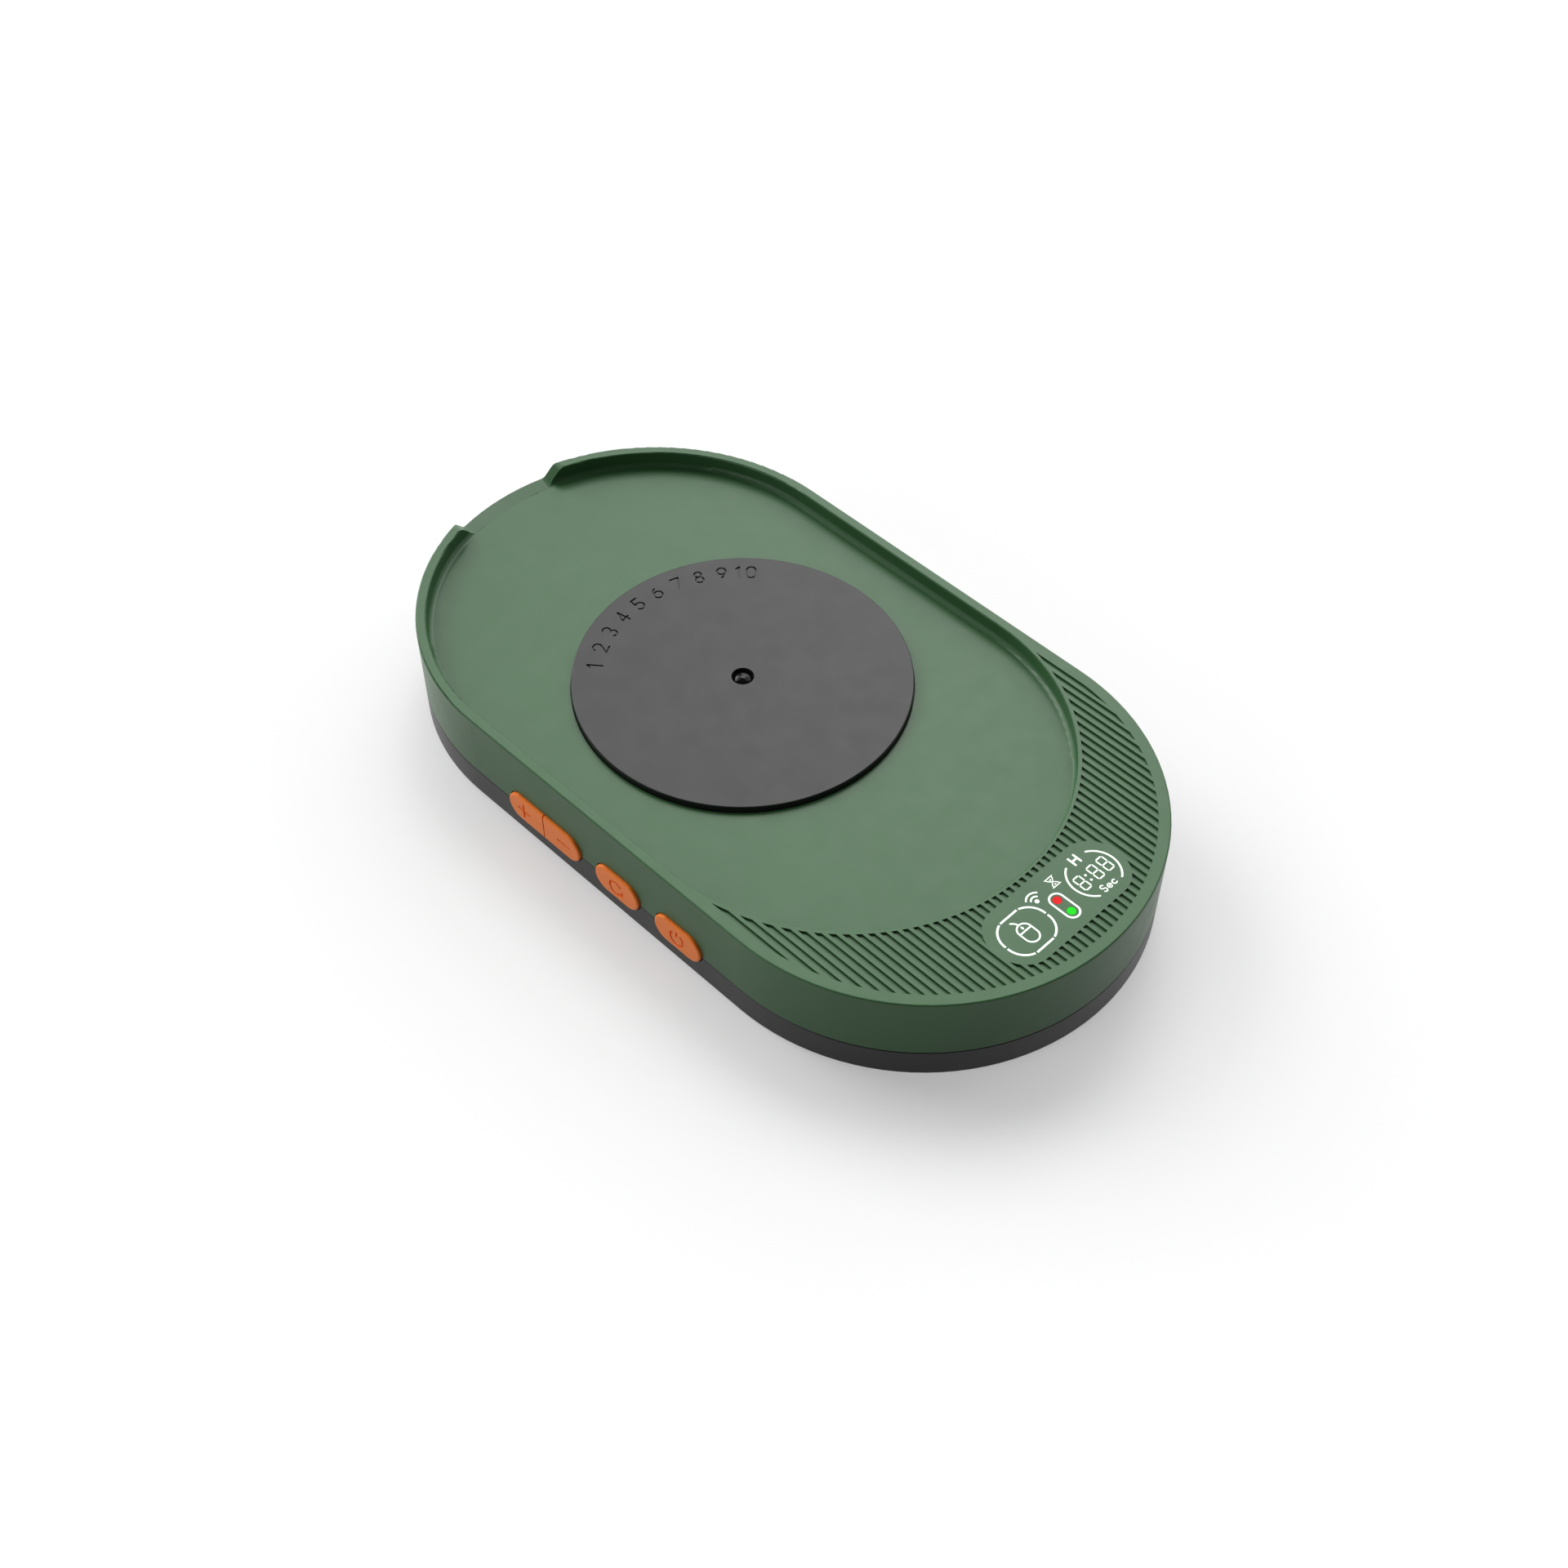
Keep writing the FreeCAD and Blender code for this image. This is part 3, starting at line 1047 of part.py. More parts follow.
def key_board():
    back_x = KEY_BOARD_X + KEY_BOARD_T
    return box(KEY_BOARD_X, back_x, KEY_BOARD_Y0, KEY_BOARD_Y1, FLOOR_Z, KEY_BOARD_TOP)


def key_board_ribs():
    """Channel in the base that holds each end of the key board."""
    ribs = []
    back_x = KEY_BOARD_X + KEY_BOARD_T + BOARD_SLOT_GAP
    for y0, y1 in ((KEY_BOARD_Y0, KEYS_Y0), (KEYS_Y1, KEY_BOARD_Y1)):
        ribs.append(box(back_x, back_x + BOARD_SLOT_T, y0, y1, FLOOR_Z, KEY_Z))
        front_x = KEY_BOARD_X - BOARD_SLOT_GAP
        ribs.append(box(front_x - BOARD_SLOT_T, front_x, y0, y1, FLOOR_Z, KEY_Z))
    return ribs


# --- boards, socket and battery ---------------------------------------------------------

def main_board_screw_places():
    x = MAIN_BOARD_W / 2 - BOARD_HOLE_EDGE
    return [(sx * x, y) for sx in (-1, 1)
            for y in (BOARD_FRONT_Y + CONNECTOR_D + BOARD_HOLE_EDGE, BOARD_BACK_Y - 3 * BOARD_HOLE_EDGE)]


def main_board():
    half = MAIN_BOARD_W / 2
    wide = BOARD_FRONT_W / 2
    front_end = BOARD_FRONT_Y + BOARD_FRONT_L
    board = box(-half, half, BOARD_FRONT_Y, BOARD_BACK_Y, BOARD_Z, BOARD_TOP_Z)
    board = board.fuse(box(-wide, wide, BOARD_FRONT_Y, front_end, BOARD_Z, BOARD_TOP_Z))
    inside = casing_prism(LIP_INNER_R - MAIN_BOARD_INSET / 2, BOARD_Z, BOARD_TOP_Z)
    board = board.common(inside).removeSplitter()
    for x, y in main_board_screw_places():
        board = board.cut(post(x, y, SMALL_SCREW_R + SCREW_HOLE_GAP, BOARD_Z, BOARD_TOP_Z))
    return board


def main_board_screws():
    return [pan_screw(SMALL_HEAD_R, SMALL_HEAD_H, SMALL_SCREW_R, SMALL_SCREW_L, x, y, BOARD_TOP_Z, False)
            for x, y in main_board_screw_places()]


def usb_socket_shell():
    radius = USB_H / 2
    reach = USB_W / 2 - radius
    shell = stadium(radius, -reach, reach, 0, USB_L)
    cavity = stadium(radius - USB_SKIN, -reach, reach, USB_SKIN, USB_L)
    shell = shell.cut(cavity)
    return face_back(shell)


def usb_socket_tongue():
    half = USB_TONGUE_W / 2
    tongue = box(-USB_TONGUE_T / 2, USB_TONGUE_T / 2, -half, half, USB_SKIN, USB_SKIN + USB_TONGUE_L)
    return face_back(tongue)


def face_back(solid):
    """Lays a shape that stands on the origin, long along Y, into the back wall's socket."""
    solid.rotate(V(0, 0, 0), UP, 90)
    solid.rotate(V(0, 0, 0), V(1, 0, 0), -90)
    solid.translate(V(0, USB_MOUTH_Y - USB_L, BOARD_TOP_Z + USB_H / 2))
    return solid


def controller_chip():
    y = (BOARD_FRONT_Y + BOARD_BACK_Y) / 2
    half = CHIP_W / 2
    return box(-half, half, y - half, y + half, BOARD_TOP_Z, BOARD_TOP_Z + CHIP_T)


def board_components():
    """Choke, two capacitors and a small driver chip beside the controller."""
    y = (BOARD_FRONT_Y + BOARD_BACK_Y) / 2
    z = BOARD_TOP_Z
    choke_half = CHOKE_W / 2
    driver_half = DRIVER_W / 2
    parts = [box(CHIP_W, CHIP_W + CHOKE_W, y - choke_half, y + choke_half, z, z + CHOKE_H)]
    parts.append(box(-CHIP_W - DRIVER_W, -CHIP_W, y - driver_half, y + driver_half, z, z + CHIP_T))
    for place in range(2):
        back = y + CAPACITOR_BEHIND + place * CAPACITOR_PITCH
        parts.append(post(-CHIP_W - driver_half, back, CAPACITOR_R, z, z + CAPACITOR_H))
    return parts


def board_connectors():
    """Connectors for the keys, the display, the motor and the battery."""
    half = CONNECTOR_W / 2
    return [box(x - half, x + half, BOARD_FRONT_Y, BOARD_FRONT_Y + CONNECTOR_D, BOARD_TOP_Z,
                BOARD_TOP_Z + CONNECTOR_H) for x in (KEY_LEAD_X, RIBBON_X, MOTOR_LEAD_X, BATTERY_PLUG_X)]


def battery_cell():
    seam_y = BATTERY_Y1 - BATTERY_TAB_L
    cell = box(BATTERY_X0, BATTERY_X1, BATTERY_Y0, seam_y, FLOOR_Z, FLOOR_Z + BATTERY_T)
    long_edges = [e for e in cell.Edges if abs(e.tangentAt(e.FirstParameter).y) > 0.99]
    cell = cell.makeFillet(BATTERY_EDGE_R, long_edges)
    mid_z = FLOOR_Z + BATTERY_T / 2
    seam = box(BATTERY_X0 + BATTERY_EDGE_R, BATTERY_X1 - BATTERY_EDGE_R, seam_y, BATTERY_Y1,
               mid_z - BATTERY_TAB_T / 2, mid_z + BATTERY_TAB_T / 2)
    return cell.fuse(seam)


def battery_frame():
    """Low ribs round the battery."""
    grow = RIB_GAP + RIB_T
    outer = box(BATTERY_X0 - grow, BATTERY_X1 + grow, BATTERY_Y0 - grow, BATTERY_Y1 + grow,
                FLOOR_Z, FLOOR_Z + RIB_H)
    inner = box(BATTERY_X0 - RIB_GAP, BATTERY_X1 + RIB_GAP, BATTERY_Y0 - RIB_GAP, BATTERY_Y1 + RIB_GAP,
                FLOOR_Z, FLOOR_Z + RIB_H)
    return outer.cut(inner)


# --- display ----------------------------------------------------------------------------

def lamp_places():
    return [LAMP_MID_Y + LAMP_PITCH / 2, LAMP_MID_Y - LAMP_PITCH / 2]


def display_board():
    half = DISPLAY_BOARD_W / 2
    back = DISPLAY_BACK_Y
    board = box(-half, half, back - DISPLAY_BOARD_L, back, DISPLAY_Z, DISPLAY_TOP_Z)
    ear = DISPLAY_EAR_W / 2
    board = board.fuse(box(-ear, ear, back - DISPLAY_EAR_L, back, DISPLAY_Z, DISPLAY_TOP_Z))
    for x, y in display_screw_places():
        board = board.cut(post(x, y, SMALL_SCREW_R + SCREW_HOLE_GAP, DISPLAY_Z, DISPLAY_TOP_Z))
    return board.removeSplitter()


def display_board_screws():
    return [pan_screw(SMALL_HEAD_R, SMALL_HEAD_H, SMALL_SCREW_R, SMALL_SCREW_L, x, y, DISPLAY_Z, True)
            for x, y in display_screw_places()]


def light_shroud():
    """Frame between display board and deck, with a chamber for each field of the display."""
    half = DISPLAY_BOARD_W / 2
    y1 = DISPLAY_BACK_Y
    y0 = y1 - DISPLAY_BOARD_L
    z0 = DISPLAY_TOP_Z
    z1 = DECK_UNDER_Z - SHROUD_GAP
    frame = box(-half, half, y0, y1, z0, z1)
    fields = ((-half + SHROUD_WALL, -SHROUD_MID_HALF - SHROUD_WALL), (-SHROUD_MID_HALF, SHROUD_MID_HALF),
              (SHROUD_MID_HALF + SHROUD_WALL, half - SHROUD_WALL))
    for x0, x1 in fields:
        frame = frame.cut(box(x0, x1, y0 + SHROUD_WALL, y1 - SHROUD_WALL, z0, z1))
    return frame


def led_block(x, y):
    z = DISPLAY_TOP_Z
    return box(x - LED_L / 2, x + LED_L / 2, y - LED_W / 2, y + LED_W / 2, z, z + LED_T)


def display_leds():
    """White chips: six round the left field, four in the right field."""
    field = (DISPLAY_BOARD_W / 2 + SHROUD_MID_HALF) / 2
    leds = []
    for i in range(6):
        angle = math.radians(60 * i)
        x = -field + RING_LED_X * math.cos(angle)
        leds.append(led_block(x, ISLAND_MID_Y + RING_LED_Y * math.sin(angle)))
    for sx in (-1, 1):
        for sy in (-1, 1):
            leds.append(led_block(field + sx * DIGIT_LED_X, ISLAND_MID_Y + sy * DIGIT_LED_Y))
    return leds


def indicator_leds():
    return [led_block(LAMP_X, y) for y in lamp_places()]


def lamp_lens(y):
    """Clear rod that carries an indicator's light to the deck's surface."""
    return post(LAMP_X, y, LENS_R, DISPLAY_TOP_Z + LED_T + SHROUD_GAP, TOP_Z)


# --- leads ------------------------------------------------------------------------------

def beside(points, shift):
    """The same route, moved sideways in plan by shift."""
    moved = []
    for i, point in enumerate(points):
        start = max(i - 1, 0)
        before = points[start + 1].sub(points[start])
        stop = min(i + 1, len(points) - 1)
        after = points[stop].sub(points[stop - 1])
        first = V(-before.y, before.x, 0).normalize()
        second = V(-after.y, after.x, 0).normalize()
        bisector = first.add(second).normalize()
        moved.append(point.add(bisector.multiply(shift / bisector.dot(second))))
    return moved


def lead_pair(points):
    """Two wires side by side along a route."""
    half_step = WIRE_R + FLOOR_CLEAR / 2
    return [wire_tube(beside(points, shift), WIRE_R, WIRE_BEND_R)
            for shift in (-half_step, half_step)]


def climb_to_board(x):
    """End of a lead's route: along Y on the floor, up, and into the connector at x."""
    high = BOARD_TOP_Z + CONNECTOR_H / 2
    return [V(x, BOARD_FRONT_Y - 2.5 * WIRE_BEND_R, WIRE_Z), V(x, BOARD_FRONT_Y - WIRE_BEND_R, high),
            V(x, BOARD_FRONT_Y, high)]


def motor_leads():
    angle = math.radians(MOTOR_LEAD_DEG)
    exit_z = MOTOR_Z + WIRE_R + FLOOR_CLEAR
    turn_r = MOTOR_LEAD_X / math.cos(angle)
    exit_point = V(MOTOR_R * math.cos(angle), MOTOR_Y + MOTOR_R * math.sin(angle), exit_z)
    turn = V(MOTOR_LEAD_X, MOTOR_Y + turn_r * math.sin(angle), exit_z)
    down = V(MOTOR_LEAD_X, turn.y + 2 * WIRE_BEND_R, WIRE_Z)
    return lead_pair([exit_point, turn, down] + climb_to_board(MOTOR_LEAD_X))


def key_leads():
    start = V(KEY_BOARD_X + KEY_BOARD_T, KEY_LEAD_Y, WIRE_Z)
    return lead_pair([start, V(KEY_LEAD_X, KEY_LEAD_Y, WIRE_Z)] + climb_to_board(KEY_LEAD_X))


def battery_leads():
    x = (BATTERY_X0 + BATTERY_X1) / 2
    high = FLOOR_Z + BATTERY_T / 2
    over_rib = BATTERY_Y1 + 2 * (RIB_GAP + RIB_T) + WIRE_R
    route = [V(x, BATTERY_Y1, high), V(x, over_rib, high), V(x, over_rib + 2 * WIRE_BEND_R, WIRE_Z),
             V(x, BATTERY_LEAD_TURN_Y, WIRE_Z)]
    aside = V(BATTERY_PLUG_X, BATTERY_LEAD_TURN_Y + 4 * WIRE_BEND_R, WIRE_Z)
    return lead_pair(route + [aside] + climb_to_board(BATTERY_PLUG_X))


def display_ribbon():
    low = FLOOR_Z + FLOOR_CLEAR + RIBBON_T / 2
    high = BOARD_TOP_Z + CONNECTOR_H / 2
    start_y = DISPLAY_BACK_Y - RIBBON_T
    climb_y = BOARD_FRONT_Y - 2 * RIBBON_BEND_R
    route = [V(RIBBON_X, start_y, DISPLAY_Z), V(RIBBON_X, start_y, low), V(RIBBON_X, climb_y, low),
             V(RIBBON_X, climb_y, high), V(RIBBON_X, BOARD_FRONT_Y, high)]
    half = RIBBON_W / 2
    return ribbon_strip(route, RIBBON_X - half, RIBBON_X + half, RIBBON_BEND_R)


PARTS = {
    "upper_housing": upper_housing,
    "lower_housing": lower_housing,
    "housing_screws": housing_screws,
    "rubber_feet": rubber_feet,
    "turntable_disc": turntable_disc,
    "turntable_gear": turntable_gear,
    "hub_bush": hub_bush,
    "hub_screw": hub_screw,
    "turntable_axle": turntable_axle,
    "thrust_washer": thrust_washer,
    "reduction_gear": reduction_gear,
    "reduction_axle": reduction_axle,
    "motor_can": motor_can,
    "motor_cap": motor_cap,
    "motor_coil": motor_coil,
    "motor_magnet": motor_magnet,
    "motor_shaft": motor_shaft,
    "motor_pinion": motor_pinion,
    "motor_bracket": motor_bracket,
    "motor_bracket_screws": motor_bracket_screws,
    "plus_key": plus_key,
    "minus_key": minus_key,
    "mode_key": mode_key,
    "power_key": power_key,
    "plus_plunger": lambda: key_plunger(plus_key_y()),
    "minus_plunger": lambda: key_plunger(minus_key_y()),
    "mode_plunger": lambda: key_plunger(MODE_MID_Y),
    "power_plunger": lambda: key_plunger(POWER_MID_Y),
    "key_switches": key_switches,
    "key_board": key_board,
    "main_board": main_board,
    "main_board_screws": main_board_screws,
    "usb_socket_shell": usb_socket_shell,
    "usb_socket_tongue": usb_socket_tongue,
    "controller_chip": controller_chip,
    "board_components": board_components,
    "board_connectors": board_connectors,
    "battery_cell": battery_cell,
    "display_board": display_board,
    "display_board_screws": display_board_screws,
    "light_shroud": light_shroud,
    "display_leds": display_leds,
    "indicator_leds": indicator_leds,
    "red_lamp_lens": lambda: lamp_lens(lamp_places()[0]),
    "green_lamp_lens": lambda: lamp_lens(lamp_places()[1]),
    "motor_leads": motor_leads,
    "key_leads": key_leads,
    "battery_leads": battery_leads,
    "display_ribbon": display_ribbon,
}

os.makedirs("parts", exist_ok=True)
for name, make in PARTS.items():
    shape = make()
    if isinstance(shape, list):
        shape = Part.makeCompound(shape)
    shape.exportStep("parts/" + name + ".step")
    print(name, len(shape.Solids), "solids", round(shape.Volume, 1), "mm3", shape.isValid())
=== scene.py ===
import json
import math

import bmesh
import bpy
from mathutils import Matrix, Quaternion, Vector


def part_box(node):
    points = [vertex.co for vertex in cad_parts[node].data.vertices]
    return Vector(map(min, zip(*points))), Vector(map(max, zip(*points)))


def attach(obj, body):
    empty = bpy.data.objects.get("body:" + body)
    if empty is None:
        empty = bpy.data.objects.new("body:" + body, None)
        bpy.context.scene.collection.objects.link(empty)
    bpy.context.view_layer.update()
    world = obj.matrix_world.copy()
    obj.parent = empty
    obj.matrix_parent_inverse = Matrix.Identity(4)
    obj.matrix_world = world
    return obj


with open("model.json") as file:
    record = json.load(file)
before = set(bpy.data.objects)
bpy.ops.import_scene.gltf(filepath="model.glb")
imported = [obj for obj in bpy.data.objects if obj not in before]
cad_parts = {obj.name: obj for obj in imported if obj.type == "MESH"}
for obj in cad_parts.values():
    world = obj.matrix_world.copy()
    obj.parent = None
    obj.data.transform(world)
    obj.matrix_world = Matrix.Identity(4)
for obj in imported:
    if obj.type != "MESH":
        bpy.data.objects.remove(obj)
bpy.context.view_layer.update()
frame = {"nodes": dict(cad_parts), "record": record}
nodes = frame["nodes"]

MM = 0.001


# --- camera ---------------------------------------------------------------------------------

CAMERA_AT = (-187.17, -188.47, 304.98)      # mm
CAMERA_AIM = (0.4606, 0.4599, -0.7592)
CAMERA_ROLL = 0.004                         # about the aim, as a quaternion's Z
LENS_MM = 49.86
SENSOR_MM = 36
CLIP_NEAR = 0.01                            # m
CLIP_FAR = 20


def make_camera():
    data = bpy.data.cameras.new("camera")
    data.lens = LENS_MM
    data.sensor_width = SENSOR_MM
    data.clip_start = CLIP_NEAR
    data.clip_end = CLIP_FAR
    camera = bpy.data.objects.new("camera", data)
    bpy.context.scene.collection.objects.link(camera)
    camera.location = Vector(CAMERA_AT) * MM
    roll = Quaternion((0, 0, 1), CAMERA_ROLL)
    camera.rotation_mode = "QUATERNION"
    camera.rotation_quaternion = Vector(CAMERA_AIM).to_track_quat("-Z", "Y") @ roll
    bpy.context.scene.camera = camera


# --- light and floor ------------------------------------------------------------------------

SUNS = {                                    # direction it comes from, spread in degrees, strength
    "panel": ((0.46, 0.46, 0.76), 28, 1.02),
    "back": ((-0.1, 0.9, 0.45), 40, 1.6),
    "back_high": ((0.0, 0.8, 0.6), 50, 1.1),
    "right": ((0.8, 0.5, 0.3), 40, 0.9),
    "right_high": ((0.7, 0.1, 0.7), 50, 1.0),
    "right_front": ((0.85, -0.5, 0.25), 40, 0.55),
    "left": ((-0.9, 0.3, 0.3), 40, 0.7),
}
WORLD_LEVEL = 0.1
FLOOR_HALF = 4.0                            # half the floor's side, m
FLOOR_ROUGHNESS = 0.9
FLOOR_TONE = 0.55                           # how pale the paper is where it is seen
FLOOR_BOUNCE = 0.36                         # how pale it is as a source of soft light
FLOOR_GLOW = 0.36
WHITE = (1, 1, 1, 1)


def make_sun(name, toward, spread_deg, strength):
    """Soft far light that comes from the direction toward."""
    data = bpy.data.lights.new(name, "SUN")
    data.energy = strength
    data.angle = math.radians(spread_deg)
    light = bpy.data.objects.new(name, data)
    light.rotation_mode = "QUATERNION"
    light.rotation_quaternion = Vector(toward).to_track_quat("Z", "Y")
    bpy.context.scene.collection.objects.link(light)


def make_world():
    world = bpy.data.worlds.new("studio")
    bpy.context.scene.world = world
    world.use_nodes = True
    background = world.node_tree.nodes["Background"]
    background.inputs["Color"].default_value = WHITE
    background.inputs["Strength"].default_value = WORLD_LEVEL


def make_floor():
    mesh = bpy.data.meshes.new("floor")
    turns = ((-1, -1), (1, -1), (1, 1), (-1, 1))
    corners = [(x * FLOOR_HALF, y * FLOOR_HALF, 0) for x, y in turns]
    mesh.from_pydata(corners, [], [(0, 1, 2, 3)])
    floor = bpy.data.objects.new("floor", mesh)
    bpy.context.scene.collection.objects.link(floor)
    mesh.materials.append(floor_material())


def floor_material():
    """Pale matt paper that glows a little wherever it is seen, straight or mirrored."""
    material = bpy.data.materials.new("floor_white")
    material.use_nodes = True
    tree = material.node_tree
    shader = tree.nodes["Principled BSDF"]
    shader.inputs["Roughness"].default_value = FLOOR_ROUGHNESS
    shader.inputs["Specular IOR Level"].default_value = 0.0
    shader.inputs["Emission Color"].default_value = WHITE
    seen = seen_rays(tree)
    tone = tree.nodes.new("ShaderNodeMapRange")
    tone.inputs["To Min"].default_value = FLOOR_BOUNCE
    tone.inputs["To Max"].default_value = FLOOR_TONE
    tree.links.new(seen, tone.inputs["Value"])
    tree.links.new(tone.outputs["Result"], shader.inputs["Base Color"])
    level = tree.nodes.new("ShaderNodeMath")
    level.operation = "MULTIPLY"
    level.inputs[1].default_value = FLOOR_GLOW
    tree.links.new(seen, level.inputs[0])
    tree.links.new(level.outputs["Value"], shader.inputs["Emission Strength"])
    return material


def seen_rays(tree):
    """Output that is 1 for the rays that show a surface, straight, mirrored or through glass."""
    path = tree.nodes.new("ShaderNodeLightPath")
    seen = path.outputs["Is Camera Ray"]
    for ray in ("Is Glossy Ray", "Is Transmission Ray"):
        either = tree.nodes.new("ShaderNodeMath")
        either.operation = "MAXIMUM"
        tree.links.new(seen, either.inputs[0])
        tree.links.new(path.outputs[ray], either.inputs[1])
        seen = either.outputs["Value"]
    return seen


# --- materials ------------------------------------------------------------------------------

NOISE_LOW = 0.3                             # range that a noise texture mostly keeps to
NOISE_HIGH = 0.7
FLOW_MM = 14.0                              # size of the flow marks in moulded plastic
GLOSS_MM = 4.0                              # and of the patches in its gloss
GLOSS_SPREAD = 0.02
METAL_TONE_MM = 3.0
METAL_GLOSS_MM = 0.8
METAL_GRAIN_MM = 0.1
BRUSH_PITCH_MM = 0.12
BRUSH_WANDER = 4.0
LENS_STREAK_MM = 0.5
LENS_GRAIN_MM = 0.2
LAMP_GLOW = 0.55
INLAY_GLOW = 0.25
INLAY_LIGHT = (0.85, 1.0, 0.85)

SHELL_GREEN = (0.038, 0.107, 0.041)
BASE_DARK = (0.010, 0.010, 0.010)
DISC_DARK = (0.017, 0.017, 0.017)
KEY_ORANGE = (0.98, 0.23, 0.028)
LAMP_RED_TONE = (0.50, 0.008, 0.010)
LAMP_GREEN_TONE = (0.005, 0.50, 0.006)
SATIN = 0.36                                # roughness of the outer plastics
SATIN_LEVEL = 0.25                          # and their specular level
BASE_LEVEL = 0.32


class Shade:
    """A Principled material under construction, with short calls for the nodes it needs."""

    def __init__(self, name, roughness, metallic=0.0, specular=0.5):
        self.material = bpy.data.materials.new(name)
        self.material.use_nodes = True
        self.tree = self.material.node_tree
        self.shader = self.tree.nodes["Principled BSDF"]
        self.shader.inputs["Metallic"].default_value = metallic
        self.shader.inputs["Specular IOR Level"].default_value = specular
        self.shader.inputs["Roughness"].default_value = roughness
        self.place = self.tree.nodes.new("ShaderNodeTexCoord").outputs["Object"]
        self.height = None

    def link(self, source, target):
        self.tree.links.new(source, target)

    def noise(self, size_mm, detail=3.0):
        node = self.tree.nodes.new("ShaderNodeTexNoise")
        node.inputs["Scale"].default_value = 1 / (size_mm * MM)
        node.inputs["Detail"].default_value = detail
        self.link(self.place, node.inputs["Vector"])
        return node.outputs["Fac"]

    def wave(self, pitch_mm, axis, distortion):
        """Bands across the axis; ten of a wave texture's units hold pi bands."""
        node = self.tree.nodes.new("ShaderNodeTexWave")
        node.wave_type = "BANDS"
        node.bands_direction = axis
        node.inputs["Scale"].default_value = math.pi / (10 * pitch_mm * MM)
        node.inputs["Distortion"].default_value = distortion
        self.link(self.place, node.inputs["Vector"])
        return node.outputs["Fac"]

    def span(self, source, low, high):
        """A noise source, spread between low and high."""
        node = self.tree.nodes.new("ShaderNodeMapRange")
        node.inputs["From Min"].default_value = NOISE_LOW
        node.inputs["From Max"].default_value = NOISE_HIGH
        node.inputs["To Min"].default_value = low
        node.inputs["To Max"].default_value = high
        self.link(source, node.inputs["Value"])
        return node.outputs["Result"]

    def colour(self, source, first, second):
        """Base colour that wanders between two colours with a noise source."""
        node = self.tree.nodes.new("ShaderNodeMix")
        node.data_type = "RGBA"
        self.link(self.span(source, 0, 1), node.inputs["Factor"])
        for colour, name in ((first, "A"), (second, "B")):
            socket = [s for s in node.inputs if s.name == name and s.type == "RGBA"][0]
            socket.default_value = (*colour, 1)
        mixed = [s for s in node.outputs if s.type == "RGBA"][0]
        self.link(mixed, self.shader.inputs["Base Color"])

    def tint(self, source, colour, spread):
        """Base colour that is a little darker in places and a little paler in others."""
        self.colour(source, scaled(colour, 1 - spread), scaled(colour, 1 + spread))

    def roughness(self, source, low, high):
        self.link(self.span(source, low, high), self.shader.inputs["Roughness"])

    def bump(self, source, depth_um):
        node = self.tree.nodes.new("ShaderNodeBump")
        node.inputs["Distance"].default_value = depth_um * 1e-6
        node.inputs["Strength"].default_value = 1.0
        self.link(source, node.inputs["Height"])
        if self.height is not None:
            self.link(self.height, node.inputs["Normal"])
        self.height = node.outputs["Normal"]
        self.link(self.height, self.shader.inputs["Normal"])

    def glow(self, colour, strength):
        self.shader.inputs["Emission Color"].default_value = (*colour, 1)
        self.shader.inputs["Emission Strength"].default_value = strength


def scaled(colour, share):
    return tuple(part * share for part in colour)


def moulded(name, colour, roughness, specular, spread=0.03, grain_mm=0.18, grain_um=1.5):
    """Moulded plastic: slight flow marks in its colour, uneven gloss and a fine eroded grain."""
    shade = Shade(name, roughness, 0.0, specular)
    shade.tint(shade.noise(FLOW_MM, 2.0), colour, spread)
    shade.roughness(shade.noise(GLOSS_MM), roughness - GLOSS_SPREAD, roughness + GLOSS_SPREAD)
    shade.bump(shade.noise(grain_mm, 2.0), grain_um)
    return shade.material


def metal(name, colour, roughness, brushed=None, grain_um=1.0, spread=0.08):
    """Bare metal with uneven gloss; brushed gives the axis that its fine lines run around."""
    shade = Shade(name, roughness, 1.0)
    shade.tint(shade.noise(METAL_TONE_MM), colour, spread)
    shade.roughness(shade.noise(METAL_GLOSS_MM), roughness * 0.8, roughness * 1.25)
    if brushed:
        shade.bump(shade.wave(BRUSH_PITCH_MM, brushed, BRUSH_WANDER), grain_um)
    shade.bump(shade.noise(METAL_GRAIN_MM), grain_um)
    return shade.material


def lit_lens(name, colour):
    """Coloured light guide, lit from below and brighter in streaks along it."""
    shade = Shade(name, 0.35, 0.0, 0.06)
    shade.tint(shade.noise(LENS_STREAK_MM), colour, 0.1)
    shade.bump(shade.noise(LENS_GRAIN_MM), 1.0)
    shade.glow(colour, LAMP_GLOW)
    return shade.material


def inlay_white():
    """Translucent white inlay, lit from below."""
    shade = Shade("inlay_white", 0.4, 0.0, 0.3)
    shade.colour(shade.noise(0.6), (0.80, 0.90, 0.80), (0.86, 0.96, 0.86))
    shade.glow(INLAY_LIGHT, INLAY_GLOW)
    return shade.material


